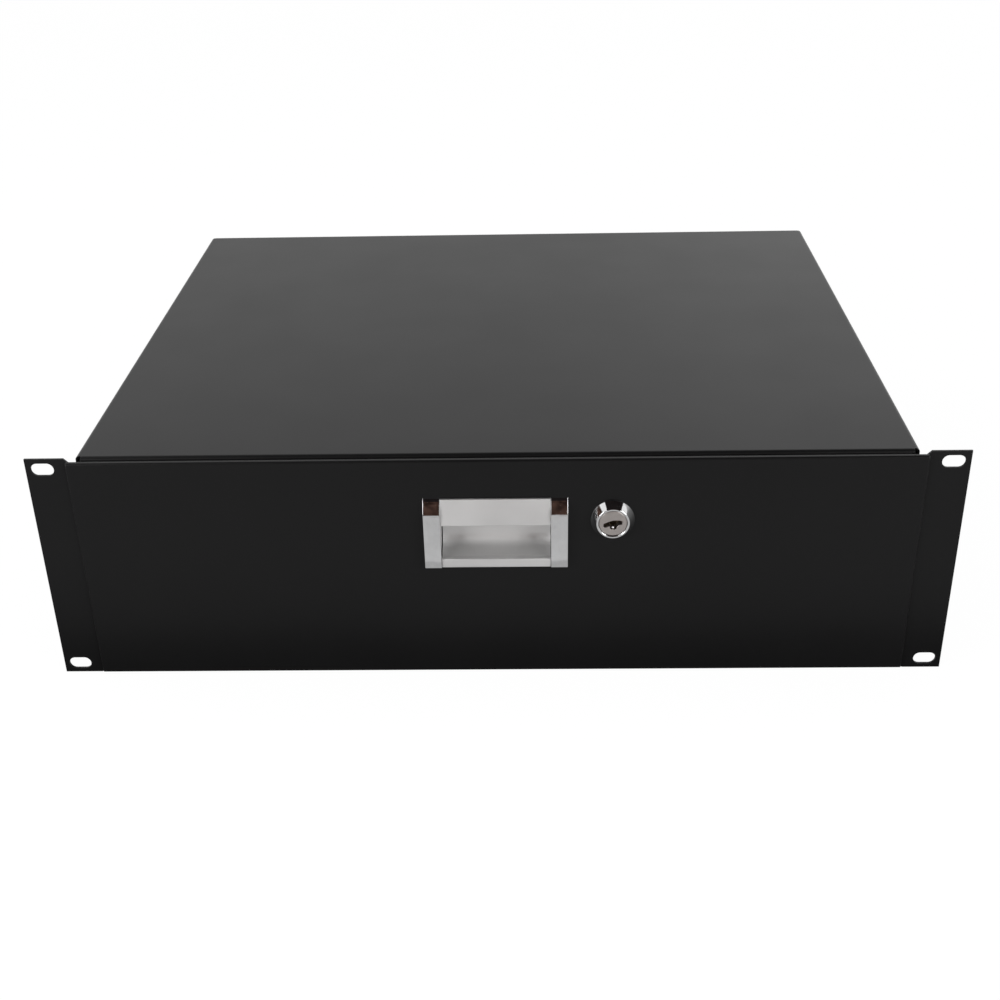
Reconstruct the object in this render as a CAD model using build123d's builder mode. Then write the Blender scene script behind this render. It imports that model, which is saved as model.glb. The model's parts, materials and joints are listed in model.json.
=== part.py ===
"""Sliding rack drawer, three rack units high, with a locking front and telescopic ball-bearing slides.

Millimetres. X runs across the rack, Y runs into the rack and Z is up. The origin is the centre of
the four-slot mounting pattern, on the back of the rack ears. The drawer is drawn closed and unlocked.
"""

import os

from build123d import *

os.makedirs("parts", exist_ok=True)

# Rack interface
rack_unit = 44.45
rack_units = 3
panel_relief = 0.8
panel_width = 482.6
slot_inset_x = 8.75
slot_inset_z = 5.95
slot_length = 12.0
slot_width = 7.0
ear_chamfer = 4.0

# Sheet metal and shared fits
sheet = 1.2
bend_inner = 1.0
bend_outer = bend_inner + sheet
hole_fit = 0.05
running_gap = 0.3

# Case
ear_reach = 25.3
case_relief = 0.95
case_depth = 360.0
cover_skirt = 14.0
cover_lip = 8.0
cover_lip_setback = 1.0
case_flange = 14.0
rib_pitch = 120.0
rib_inset = 54.0
rib_width = 10.0
rib_depth = 0.72
rib_wall = 1.0

# Drawer front
face_overhang = 4.0
face_inset = 0.8
face_drop = 0.25
face_edge_depth = 2.3
tray_front_gap = 1.1
tray_front_inset = 0.4

# Tray
tray_rear_gap = 19.9
tray_headroom = 21.0
tray_floor_gap = 1.0
tray_rim = 8.0
tray_foot = 10.0
tray_tab = 11.0
tray_back_flange = 10.0
sill_height = 12.0
sill_depth = 12.0

# Slides
slide_height = 45.0
slide_thickness = 12.7
slide_drop = 1.2
slide_front = 5.0
slide_rear_gap = 2.6
rail_stop_gap = 5.0
ball_radius = 2.0
ball_fit = 0.05
ball_pocket_fit = 0.15
ball_axis = 8.6
balls_per_row = 6
raceway_wall = 1.05
raceway_web = 1.3
raceway_edge = 0.35
middle_web_offset = 4.6
middle_flange = 3.0
inner_flange = 1.9
inner_flange_drop = 1.4
rail_window_length = 40.0
rail_window_height = 12.0
cage_sheet = 0.6
cage_end_margin = 2.5
cage_window_margin = 7.0
bumper_corner = 2.0
lever_length = 46.0
lever_height = 7.0
lever_thickness = 2.9
lever_boss_radius = 4.9
lever_pad_length = 7.0
lever_pad_height = 11.0
lever_pivot_inset = 140.0
lever_pivot_radius = 1.5
lever_pivot_head = 0.7

# Handle
handle_width = 75.0
handle_height = 41.0
handle_bottom = 3.1
handle_cap_width = 8.8
handle_stand = 4.0
handle_recess = 12.0
handle_wall = 1.3
handle_flange = 3.4
hood_height = 16.0
hood_setback = 0.5
lip_height = 5.2
lip_setback = 0.9
scoop_rise = 3.4
scoop_top_radius = 6.0
scoop_bottom_radius = 12.0
cap_flat_height = 31.9
cap_edge = 0.5
cap_web = 2.4
cap_web_corner = 6.0
backing_plate = 1.5

# Lock
lock_x = 60.6
lock_z = 29.8
bezel_base = 22.8
bezel_rim = 17.4
bezel_height = 5.0
barrel_diameter = 18.6
barrel_flats = 16.4
barrel_length = 16.0
plug_diameter = 14.5
plug_body_diameter = 12.6
plug_head_length = 3.5
plug_recess = 0.5
plug_fit = 0.08
keyway_width = 9.0
keyway_height = 1.6
keyway_tilt = 17.0
keyway_depth = 15.0
keyway_lap = 0.4
wafer_count = 5
wafer_pitch = 2.4
wafer_sheet = 0.7
cam_headroom = 3.8
cam_width = 14.0
cam_thickness = 2.0
cam_square = 7.0
lock_nut_flats = 24.0
lock_nut_thickness = 4.0
lock_washer_diameter = 26.0
lock_washer_thickness = 0.8

# Strike for the lock cam
strike_width = 40.0
strike_drop = 12.6
strike_play = 1.3
strike_foot = 16.0
strike_corner = 3.0

# Fasteners
rivet_shank = 3.2
rivet_head = 6.0
rivet_head_height = 0.8
screw_3_shank = 3.0
screw_3_head = 5.5
screw_4_shank = 4.0
screw_4_head = 7.6
screw_head_height = 2.0
screw_tip = 1.0
nut_3_flats = 5.5
nut_3_thickness = 2.4
cover_screw_inset = 30.0
cover_back_inset = 66.0
case_rivet_inset = 15.0
slide_screw_inset = 35.0
tray_screw_inset = 50.0
tab_rivet_inset = 7.0
sill_rivet_inset = 100.0
stud_inset_x = 40.0
stud_inset_top = 12.75
stud_inset_low = 7.0
cap_screw_inset = 3.4
cap_screw_low = 7.0
cap_screw_high = 13.0

# Places worked out from the sizes above
panel_height = rack_unit * rack_units - panel_relief
slot_pitch_x = panel_width - 2 * slot_inset_x
slot_pitch_z = panel_height - 2 * slot_inset_z
case_width = panel_width - 2 * ear_reach
case_height = panel_height - case_relief
case_bottom = -case_height / 2
case_top = case_height / 2
cover_under = case_top - sheet
wall_outer = case_width / 2 - sheet
wall_inner = wall_outer - sheet
wall_top = cover_under - bend_outer
ear_front = -sheet
face_back = ear_front - running_gap
face_front = face_back - face_edge_depth
face_inner = face_front + sheet
face_centre_z = -face_drop
face_width = case_width + 2 * face_overhang
face_height = case_height - 2 * face_inset
face_top = face_centre_z + face_height / 2
tray_front_back = face_back + sheet
tray_front_width = 2 * (wall_inner - tray_front_gap)
tray_front_height = face_height - 2 * tray_front_inset
floor_top = case_bottom + 2 * sheet
tray_bottom = floor_top + tray_floor_gap
tray_floor_top = tray_bottom + 2 * sheet
sill_top = tray_floor_top + sill_height
tray_top = case_top - tray_headroom
tray_side_height = tray_top - tray_bottom
tray_half = wall_inner - slide_thickness
back_outer = case_depth - sheet
back_inner = back_outer - sheet
tray_back_outer = back_inner - tray_rear_gap
tray_rear = tray_back_outer + tray_back_flange
tab_start = tray_front_back + bend_outer
slide_centre_z = (tray_bottom + tray_top) / 2 - slide_drop
slide_rear = back_inner - slide_rear_gap
slide_length = slide_rear - slide_front
slide_travel = slide_length
moving_rear = slide_rear - rail_stop_gap
moving_rail_length = moving_rear - slide_front
handle_top = handle_bottom + handle_height
handle_half = handle_width / 2
profile_half = handle_half - handle_cap_width
handle_front = face_front - handle_stand
recess_back = face_front + handle_recess
opening_bottom = handle_bottom + handle_flange
opening_top = handle_top - handle_flange
opening_half = profile_half + cap_web + running_gap
barrel_end = face_front + barrel_length
cam_front = barrel_end + running_gap
cam_back = cam_front + cam_thickness
cam_reach = cover_under - lock_z - cam_headroom
strike_back = cam_front - strike_play
outer_ball_height = slide_height / 2 - raceway_wall - ball_fit - ball_radius
inner_ball_height = outer_ball_height - 2 * (ball_radius + ball_fit) - raceway_web
groove_radius = ball_radius + ball_fit
cage_front = slide_front + slide_travel / 4 + cage_end_margin
cage_rear = moving_rear - slide_travel / 4 - cage_end_margin
cage_length = cage_rear - cage_front

# Places shared by holes and the fasteners that fill them
cover_screw_z = case_top - cover_skirt / 2 - 1
cover_screw_ys = [cover_screw_inset, case_depth - cover_screw_inset]
cover_back_xs = [cover_back_inset - case_width / 2, case_width / 2 - cover_back_inset]
back_rivet_y = back_inner - case_flange / 2
back_rivet_zs = [floor_top + case_rivet_inset, wall_top - case_rivet_inset]
slide_screw_ys = [slide_front + slide_screw_inset, slide_rear - slide_screw_inset]
tray_screw_ys = [slide_front + tray_screw_inset, moving_rear - tray_screw_inset]
tab_rivet_x = tray_half - sheet + (tray_tab + bend_outer) / 2
tab_rivet_zs = [tray_bottom + 2 * bend_outer + tab_rivet_inset, tray_top - 2 * bend_outer - tab_rivet_inset]
sill_rivet_xs = [sill_rivet_inset - tray_half, tray_half - sill_rivet_inset]
sill_rivet_z = (tray_floor_top + bend_outer + sill_top) / 2
stud_xs = [stud_inset_x - tray_half, tray_half - stud_inset_x]
stud_zs = [sill_top + stud_inset_low, face_top - stud_inset_top]
cap_screw_x = handle_half - cap_screw_inset
cap_screw_zs = [handle_bottom + cap_screw_low, handle_top - cap_screw_high]
lever_pivot_y = moving_rear - lever_pivot_inset
wafer_ys = [face_front + 0.6 + i * wafer_pitch for i in range(wafer_count)]

sides = ("left", "right")


def bent_sheet(points):
    """Outline of a bent sheet. The points follow its outer side, and the metal lies to their left."""
    with BuildSketch() as outline:
        with BuildLine():
            FilletPolyline(*points, radius=bend_outer)
            offset(amount=sheet, side=Side.LEFT)
        make_face()
    return outline.sketch


def front_plane(y):
    """Upright plane at depth y that faces the front, with local x to the right and local y up."""
    return Plane.XZ.offset(-y)


def slide_plane(y):
    """Plane across the right slide at depth y, with local x inwards from the case wall and y up."""
    return Plane(origin=(wall_inner, y, slide_centre_z), x_dir=(-1, 0, 0), z_dir=(0, 1, 0))


def facing(x, y, z, direction):
    """Place for a fastener whose head faces the given direction."""
    return Location(Plane(origin=(x, y, z), z_dir=direction))


def dome_rivet(grip):
    """Blind rivet with its head above local z 0, its shank through the grip, and a formed tail."""
    tail = 1.6
    with BuildPart() as rivet:
        with BuildSketch(Plane.XZ):
            Polygon(
                (0, rivet_head_height),
                (rivet_head / 4, rivet_head_height),
                (rivet_head / 2, 0),
                (rivet_shank / 2, 0),
                (rivet_shank / 2, -grip),
                (rivet_shank / 2 + 0.5, -grip),
                (rivet_shank / 2, -grip - tail),
                (0, -grip - tail),
                align=None,
            )
        revolve(axis=Axis.Z)
    return rivet.part


def pan_screw(shank, head, length):
    """Pan-head screw with its bevelled head above local z 0 and its shank below."""
    with BuildPart() as screw:
        Cylinder(head / 2, screw_head_height, align=(Align.CENTER, Align.CENTER, Align.MIN))
        chamfer(screw.edges().group_by(Axis.Z)[-1], length=screw_head_height * 0.4)
        Cylinder(shank / 2, length, align=(Align.CENTER, Align.CENTER, Align.MAX))
    return screw.part


def flat_screw(shank, head, length):
    """Countersunk screw, flush with local z 0."""
    cone = (head - shank) / 2
    with BuildPart() as screw:
        with BuildSketch(Plane.XZ):
            Polygon(
                (0, 0), (head / 2, 0), (shank / 2, -cone), (shank / 2, -length), (0, -length), align=None
            )
        revolve(axis=Axis.Z)
    return screw.part


def bearing_ball():
    """Ball with flat facets: an eight-sided bar, bevelled at both ends so that it fills the sphere."""
    reach = ball_radius * 0.92
    with BuildPart() as ball:
        with BuildSketch(Plane.XY.offset(-reach)):
            RegularPolygon(reach, 8)
        extrude(amount=2 * reach)
        chamfer(ball.faces().filter_by(Axis.Z).edges(), length=ball_radius / 2)
    return ball.part


# Side panels: one bent sheet each, from rack ear to wall to bottom flange
for side in sides:
    with BuildPart() as side_panel:
        with BuildSketch(Plane.XY.offset(-panel_height / 2)):
            add(bent_sheet([(wall_inner, back_outer), (wall_inner, ear_front), (panel_width / 2, ear_front)]))
        extrude(amount=panel_height)
        # The wall stops below the cover's bend, and its lower end gives way to the flange
        with BuildSketch(front_plane(back_outer)):
            with Locations((wall_inner, wall_top)):
                Rectangle(bend_outer + sheet, case_height, align=(Align.MIN, Align.MIN))
            with Locations((wall_inner, ear_chamfer - panel_height / 2)):
                Rectangle(bend_outer + sheet, case_height, align=(Align.MIN, Align.MAX))
            for level in (-1, 1):
                with BuildLine():
                    Polyline(
                        (wall_outer + bend_outer, level * panel_height / 2),
                        (wall_outer + bend_outer + ear_chamfer, level * panel_height / 2),
                        (wall_outer + bend_outer, level * (panel_height / 2 - ear_chamfer)),
                        close=True,
                    )
                make_face()
        extrude(amount=case_depth, mode=Mode.SUBTRACT)
        with BuildSketch(front_plane(bend_outer)):
            add(
                bent_sheet(
                    [
                        (wall_outer - case_flange, case_bottom),
                        (wall_outer, case_bottom),
                        (wall_outer, case_bottom + case_flange),
                    ]
                )
            )
        extrude(amount=bend_outer - back_outer)
        with BuildSketch(front_plane(ear_front)):
            with Locations((slot_pitch_x / 2, 0)):
                with GridLocations(0, slot_pitch_z, 1, 2):
                    SlotOverall(slot_length, slot_width)
        extrude(amount=-sheet, mode=Mode.SUBTRACT)
        with Locations([facing(wall_outer, y, slide_centre_z, (1, 0, 0)) for y in slide_screw_ys]):
            Hole(screw_4_shank / 2 + hole_fit, depth=sheet)
        with Locations([facing(wall_outer, y, cover_screw_z, (1, 0, 0)) for y in cover_screw_ys]):
            Hole(screw_3_shank / 2 + hole_fit, depth=sheet)
        with Locations([facing(wall_outer, back_rivet_y, z, (1, 0, 0)) for z in back_rivet_zs]):
            Hole(rivet_shank / 2 + hole_fit, depth=sheet)
        if side == "left":
            mirror(about=Plane.YZ, mode=Mode.REPLACE)
    side_panel.part.label = f"side_panel_{side}"
    export_step(side_panel.part, f"parts/side_panel_{side}.step")

# Top cover: folded over the side panels, with a lip at the front and a skirt at the sides and back
with BuildPart() as top_cover:
    with BuildSketch(front_plane(cover_lip_setback + bend_outer)):
        add(
            bent_sheet(
                [
                    (case_width / 2, case_top - cover_skirt),
                    (case_width / 2, case_top),
                    (-case_width / 2, case_top),
                    (-case_width / 2, case_top - cover_skirt),
                ]
            )
        )
    extrude(amount=cover_lip_setback + 2 * bend_outer - case_depth)
    lip_half = wall_inner - sheet / 2
    with BuildSketch(Plane.YZ.offset(-lip_half)):
        add(
            bent_sheet(
                [
                    (case_depth, case_top - cover_skirt),
                    (case_depth, case_top),
                    (cover_lip_setback, case_top),
                    (cover_lip_setback, case_top - cover_lip),
                ]
            )
        )
    extrude(amount=2 * lip_half)
    for direction in (-1, 1):
        x = direction * case_width / 2
        with Locations([facing(x, y, cover_screw_z, (direction, 0, 0)) for y in cover_screw_ys]):
            CounterSinkHole(screw_3_shank / 2 + hole_fit, screw_3_head / 2 + hole_fit, depth=sheet)
    with Locations([facing(x, case_depth, cover_screw_z, (0, 1, 0)) for x in cover_back_xs]):
        CounterSinkHole(screw_3_shank / 2 + hole_fit, screw_3_head / 2 + hole_fit, depth=sheet)
top_cover.part.label = "top_cover"
export_step(top_cover.part, "parts/top_cover.step")

# Bottom panel: lies on the flanges of the side panels, with three pressed stiffening ribs
with BuildPart() as bottom_panel:
    with BuildSketch(Plane.XY.offset(case_bottom + sheet)):
        with Locations((0, (bend_outer + back_inner) / 2)):
            Rectangle(2 * (wall_inner - bend_inner), back_inner - bend_outer)
    extrude(amount=sheet)
    rib_length = case_depth - 2 * rib_inset
    with BuildSketch(Plane.XY.offset(case_bottom + sheet)):
        with Locations((0, case_depth / 2)):
            with GridLocations(rib_pitch, 0, 3, 1):
                SlotOverall(rib_length, rib_width, rotation=90)
    extrude(amount=-rib_depth)
    with BuildSketch(Plane.XY.offset(floor_top)):
        with Locations((0, case_depth / 2)):
            with GridLocations(rib_pitch, 0, 3, 1):
                SlotOverall(rib_length - 2 * rib_wall, rib_width - 2 * rib_wall, rotation=90)
    extrude(amount=-rib_depth, mode=Mode.SUBTRACT)
bottom_panel.part.label = "bottom_panel"
export_step(bottom_panel.part, "parts/bottom_panel.step")

# Back panel: side flanges riveted to the walls, notched round the slides, and a foot on the floor
with BuildPart() as back_panel:
    flange_front = back_inner - case_flange
    with BuildSketch(Plane.XY.offset(floor_top + bend_outer)):
        add(
            bent_sheet(
                [
                    (wall_inner, flange_front),
                    (wall_inner, back_outer),
                    (-wall_inner, back_outer),
                    (-wall_inner, flange_front),
                ]
            )
        )
    extrude(amount=wall_top - floor_top - bend_outer)
    with BuildSketch(Plane.YZ.offset(bend_outer - wall_inner)):
        add(
            bent_sheet(
                [(flange_front, floor_top), (back_outer, floor_top), (back_outer, floor_top + case_flange)]
            )
        )
    extrude(amount=2 * (wall_inner - bend_outer))
    for direction in (-1, 1):
        with Locations((direction * wall_inner, flange_front, slide_centre_z)):
            Box(
                4 * sheet,
                2 * (case_flange + sheet - slide_rear_gap),
                slide_height + 4 * sheet,
                mode=Mode.SUBTRACT,
            )
        x = direction * wall_inner
        with Locations([facing(x, back_rivet_y, z, (direction, 0, 0)) for z in back_rivet_zs]):
            Hole(rivet_shank / 2 + hole_fit, depth=sheet)
    with Locations([facing(x, back_outer, cover_screw_z, (0, 1, 0)) for x in cover_back_xs]):
        Hole(screw_3_shank / 2 + hole_fit, depth=sheet)
back_panel.part.label = "back_panel"
export_step(back_panel.part, "parts/back_panel.step")

# Flat-head screws that hold the cover to the side and back panels
cover_screw = flat_screw(screw_3_shank, screw_3_head, 2 * sheet + 2 * screw_tip)
with BuildPart() as cover_screws:
    for direction in (-1, 1):
        x = direction * case_width / 2
        with Locations([facing(x, y, cover_screw_z, (direction, 0, 0)) for y in cover_screw_ys]):
            add(cover_screw)
    with Locations([facing(x, case_depth, cover_screw_z, (0, 1, 0)) for x in cover_back_xs]):
        add(cover_screw)
cover_screws.part.label = "cover_screws"
export_step(cover_screws.part, "parts/cover_screws.step")

# Rivets that hold the back panel between the side panels
case_rivet = dome_rivet(2 * sheet)
with BuildPart() as case_rivets:
    for direction in (-1, 1):
        x = direction * wall_outer
        with Locations([facing(x, back_rivet_y, z, (direction, 0, 0)) for z in back_rivet_zs]):
            add(case_rivet)
case_rivets.part.label = "case_rivets"
export_step(case_rivets.part, "parts/case_rivets.step")

# Strike bracket: hangs under the cover, and the raised cam catches behind its plate
with BuildPart() as strike_bracket:
    with BuildSketch(Plane.YZ.offset(lock_x - strike_width / 2)):
        add(
            bent_sheet(
                [
                    (strike_back + strike_foot, cover_under),
                    (strike_back - sheet, cover_under),
                    (strike_back - sheet, cover_under - strike_drop),
                ]
            )
        )
    extrude(amount=strike_width)
    fillet(
        strike_bracket.edges().filter_by(Axis.Y).group_by(Axis.Z)[0],
        radius=strike_corner,
    )
strike_bracket.part.label = "strike_bracket"
export_step(strike_bracket.part, "parts/strike_bracket.step")

# Outer rails: C-shaped members on the case walls, with a rolled raceway along each flange
with BuildSketch() as raceway:
    Circle(groove_radius + raceway_wall)
    Circle(groove_radius, mode=Mode.SUBTRACT)
    with Locations((0, groove_radius / 2)):
        Rectangle(4 * groove_radius, 4 * groove_radius, align=(Align.CENTER, Align.MIN), mode=Mode.INTERSECT)

for side in sides:
    with BuildPart() as outer_rail:
        with BuildSketch(slide_plane(slide_front)):
            with Locations((sheet / 2, 0)):
                Rectangle(sheet, slide_height - 2 * raceway_wall)
            for level in (-1, 1):
                with Locations((0, level * (slide_height / 2 - raceway_wall / 2))):
                    Rectangle(ball_axis, raceway_wall, align=(Align.MIN, Align.CENTER))
                with Locations(Location((ball_axis, level * outer_ball_height), 90 - level * 90)):
                    add(raceway.sketch)
        extrude(amount=slide_length)
        with Locations([facing(wall_inner, y, slide_centre_z, (1, 0, 0)) for y in slide_screw_ys]):
            Hole(screw_4_shank / 2 + hole_fit, depth=sheet)
        if side == "left":
            mirror(about=Plane.YZ, mode=Mode.REPLACE)
    outer_rail.part.label = f"outer_rail_{side}"
    export_step(outer_rail.part, f"parts/outer_rail_{side}.step")

# Middle rails: run between the two sets of balls, with a groove on both sides of each flange
middle_web_near = ball_axis - middle_web_offset
middle_web_far = middle_web_near + sheet
middle_flange_end = ball_axis + groove_radius + raceway_edge
flange_centre = (outer_ball_height + inner_ball_height) / 2
for side in sides:
    with BuildPart() as middle_rail:
        with BuildSketch(slide_plane(slide_front)):
            with Locations((middle_web_near, 0)):
                Rectangle(sheet, 2 * flange_centre, align=(Align.MIN, Align.CENTER))
            for level in (-1, 1):
                with Locations((middle_web_near, level * flange_centre)):
                    Rectangle(
                        middle_flange_end - middle_web_near, middle_flange, align=(Align.MIN, Align.CENTER)
                    )
                with Locations(
                    (ball_axis, level * outer_ball_height), (ball_axis, level * inner_ball_height)
                ):
                    Circle(groove_radius, mode=Mode.SUBTRACT)
        extrude(amount=moving_rail_length)
        with BuildSketch(Plane.YZ.offset(wall_inner)):
            with Locations((slide_front + moving_rail_length / 2, slide_centre_z)):
                with GridLocations(moving_rail_length / 3, 0, 3, 1):
                    SlotOverall(rail_window_length, rail_window_height)
        extrude(amount=-slide_thickness, mode=Mode.SUBTRACT)
        if side == "left":
            mirror(about=Plane.YZ, mode=Mode.REPLACE)
    middle_rail.part.label = f"middle_rail_{side}"
    export_step(middle_rail.part, f"parts/middle_rail_{side}.step")

# Inner rails: carry the tray
inner_web_near = slide_thickness - sheet
inner_flange_start = ball_axis - groove_radius + hole_fit
inner_flange_top = inner_ball_height - inner_flange_drop
for side in sides:
    with BuildPart() as inner_rail:
        with BuildSketch(slide_plane(slide_front)):
            with Locations((inner_web_near, 0)):
                Rectangle(sheet, 2 * inner_flange_top, align=(Align.MIN, Align.CENTER))
            for level in (-1, 1):
                with Locations((slide_thickness, level * (inner_flange_top - inner_flange / 2))):
                    Rectangle(
                        slide_thickness - inner_flange_start,
                        inner_flange,
                        align=(Align.MAX, Align.CENTER),
                    )
                with Locations((ball_axis, level * inner_ball_height)):
                    Circle(groove_radius, mode=Mode.SUBTRACT)
        extrude(amount=moving_rail_length)
        with Locations([facing(tray_half, y, slide_centre_z, (-1, 0, 0)) for y in tray_screw_ys]):
            Hole(screw_4_shank / 2 + hole_fit, depth=sheet)
        with Locations(facing(tray_half, lever_pivot_y, slide_centre_z, (-1, 0, 0))):
            Hole(lever_pivot_radius + hole_fit, depth=sheet)
        if side == "left":
            mirror(about=Plane.YZ, mode=Mode.REPLACE)
    inner_rail.part.label = f"inner_rail_{side}"
    export_step(inner_rail.part, f"parts/inner_rail_{side}.step")

# Ball cages: folded strips that space the balls, one set outside and one inside the middle rail
ball = bearing_ball()
ball_pitch = cage_length / balls_per_row
ball_ys = [cage_front + ball_pitch * (i + 0.5) for i in range(balls_per_row)]
cage_flange_end = middle_flange_end + 2 * ball_fit
cage_gap = 0.4
pocket = 2 * (ball_radius + ball_pocket_fit)
cage_rows = {
    "outer": (outer_ball_height, middle_web_near - cage_sheet - cage_gap),
    "inner": (inner_ball_height, middle_web_far + cage_gap),
}
for row_name, (row_height, web_near) in cage_rows.items():
    for side in sides:
        with BuildPart() as cage:
            with BuildSketch(slide_plane(cage_front)):
                with Locations((web_near, 0)):
                    Rectangle(cage_sheet, 2 * row_height, align=(Align.MIN, Align.CENTER))
                with Locations((web_near, row_height), (web_near, -row_height)):
                    Rectangle(cage_flange_end - web_near, cage_sheet, align=(Align.MIN, Align.CENTER))
            extrude(amount=cage_length)
            with Locations([(wall_inner - ball_axis, y, slide_centre_z) for y in ball_ys]):
                Box(pocket, pocket, slide_height, mode=Mode.SUBTRACT)
            with BuildSketch(Plane.YZ.offset(wall_inner)):
                with Locations((cage_front + cage_length / 2, slide_centre_z)):
                    with GridLocations(cage_length / 3, 0, 3, 1):
                        Rectangle(cage_length / 3 - 2 * cage_window_margin, row_height)
            extrude(amount=-slide_thickness, mode=Mode.SUBTRACT)
            if side == "left":
                mirror(about=Plane.YZ, mode=Mode.REPLACE)
        cage.part.label = f"{row_name}_cage_{side}"
        export_step(cage.part, f"parts/{row_name}_cage_{side}.step")

        with BuildPart() as balls:
            levels = (slide_centre_z - row_height, slide_centre_z + row_height)
            with Locations([(wall_inner - ball_axis, y, z) for y in ball_ys for z in levels]):
                add(ball)
            if side == "left":
                mirror(about=Plane.YZ, mode=Mode.REPLACE)
        balls.part.label = f"{row_name}_balls_{side}"
        export_step(balls.part, f"parts/{row_name}_balls_{side}.step")

# Rubber bumpers: stop the moving rails at the rear of each outer rail
for side in sides:
    with BuildPart() as rail_bumper:
        with BuildSketch(slide_plane(moving_rear + running_gap)):
            with Locations((sheet, 0)):
                RectangleRounded(
                    inner_web_near - sheet,
                    2 * inner_flange_top,
                    bumper_corner,
                    align=(Align.MIN, Align.CENTER),
                )
        extrude(amount=slide_rear - moving_rear - running_gap)
        if side == "left":
            mirror(about=Plane.YZ, mode=Mode.REPLACE)
    rail_bumper.part.label = f"rail_bumper_{side}"
    export_step(rail_bumper.part, f"parts/rail_bumper_{side}.step")

# Slide screws: through the case wall into the outer rail, and through the tray into the inner rail
slide_screw = pan_screw(screw_4_shank, screw_4_head, 2 * sheet + screw_tip)
for side in sides:
    direction = -1 if side == "left" else 1
    with BuildPart() as outer_rail_screws:
        x = direction * wall_outer
        with Locations([facing(x, y, slide_centre_z, (direction, 0, 0)) for y in slide_screw_ys]):
            add(slide_screw)
    outer_rail_screws.part.label = f"outer_rail_screws_{side}"
    export_step(outer_rail_screws.part, f"parts/outer_rail_screws_{side}.step")

    with BuildPart() as inner_rail_screws:
        x = direction * (tray_half - sheet)
        with Locations([facing(x, y, slide_centre_z, (-direction, 0, 0)) for y in tray_screw_ys]):
            add(slide_screw)
    inner_rail_screws.part.label = f"inner_rail_screws_{side}"
    export_step(inner_rail_screws.part, f"parts/inner_rail_screws_{side}.step")

# Release levers: each turns on a rivet in the inner rail and frees the rail when the drawer is out
lever_face = inner_web_near - running_gap
for side in sides:
    with BuildPart() as release_lever:
        with BuildSketch(Plane.YZ.offset(wall_inner - lever_face)):
            with Locations((lever_pivot_y, slide_centre_z)):
                SlotOverall(lever_length, lever_height)
                Circle(lever_boss_radius)
            with Locations((lever_pivot_y - lever_length / 2, slide_centre_z)):
                Rectangle(lever_pad_length, lever_pad_height)
        extrude(amount=lever_thickness)
        with Locations(facing(wall_inner, lever_pivot_y, slide_centre_z, (1, 0, 0))):
            Hole(lever_pivot_radius + plug_fit, depth=slide_thickness)
        if side == "left":
            mirror(about=Plane.YZ, mode=Mode.REPLACE)
    release_lever.part.label = f"release_lever_{side}"
    export_step(release_lever.part, f"parts/release_lever_{side}.step")

    with BuildPart() as lever_pivot:
        pivot_head = lever_face - lever_thickness - running_gap
        with Locations(facing(wall_inner - pivot_head, lever_pivot_y, slide_centre_z, (1, 0, 0))):
            Cylinder(
                lever_pivot_radius,
                slide_thickness - pivot_head,
                align=(Align.CENTER, Align.CENTER, Align.MAX),
            )
            Cylinder(
                2 * lever_pivot_radius, lever_pivot_head, align=(Align.CENTER, Align.CENTER, Align.MIN)
            )
        if side == "left":
            mirror(about=Plane.YZ, mode=Mode.REPLACE)
    lever_pivot.part.label = f"lever_pivot_{side}"
    export_step(lever_pivot.part, f"parts/lever_pivot_{side}.step")

# Tray sides: each has a turned-in rim and foot, and a tab at the front for the tray front wall
for side in sides:
    with BuildPart() as tray_side:
        with BuildSketch(front_plane(tab_start)):
            add(
                bent_sheet(
                    [
                        (tray_half - tray_foot, tray_bottom),
                        (tray_half, tray_bottom),
                        (tray_half, tray_top),
                        (tray_half - tray_rim, tray_top),
                    ]
                )
            )
        extrude(amount=tab_start - tray_rear)
        # The foot ends ahead of the back panel's own foot
        with Locations((tray_half, back_inner - case_flange - tray_floor_gap, tray_bottom)):
            Box(
                4 * tray_foot,
                tray_rear,
                2 * bend_outer,
                align=(Align.CENTER, Align.MIN, Align.CENTER),
                mode=Mode.SUBTRACT,
            )
        with BuildSketch(Plane.XY.offset(tray_bottom + 2 * bend_outer)):
            add(
                bent_sheet(
                    [
                        (tray_half - sheet, tab_start + sheet),
                        (tray_half - sheet, tray_front_back),
                        (tray_half - sheet + tray_tab, tray_front_back),
                    ]
                )
            )
        extrude(amount=tray_side_height - 4 * bend_outer)
        with Locations([facing(tray_half - sheet, y, slide_centre_z, (-1, 0, 0)) for y in tray_screw_ys]):
            Hole(screw_4_shank / 2 + hole_fit, depth=sheet)
        with Locations([facing(tab_rivet_x, tray_front_back, z, (0, -1, 0)) for z in tab_rivet_zs]):
            Hole(rivet_shank / 2 + hole_fit, depth=sheet)
        if side == "left":
            mirror(about=Plane.YZ, mode=Mode.REPLACE)
    tray_side.part.label = f"tray_side_{side}"
    export_step(tray_side.part, f"parts/tray_side_{side}.step")

# Tray floor: a flat sheet that lies on the feet of the sides and is spot-welded to them
with BuildPart() as tray_floor:
    with BuildSketch(Plane.XY.offset(tray_bottom + sheet)):
        with Locations((0, (tray_front_back + tray_rear) / 2)):
            Rectangle(2 * (tray_half - bend_outer), tray_rear - tray_front_back)
    extrude(amount=sheet)
tray_floor.part.label = "tray_floor"
export_step(tray_floor.part, "parts/tray_floor.step")

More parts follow.
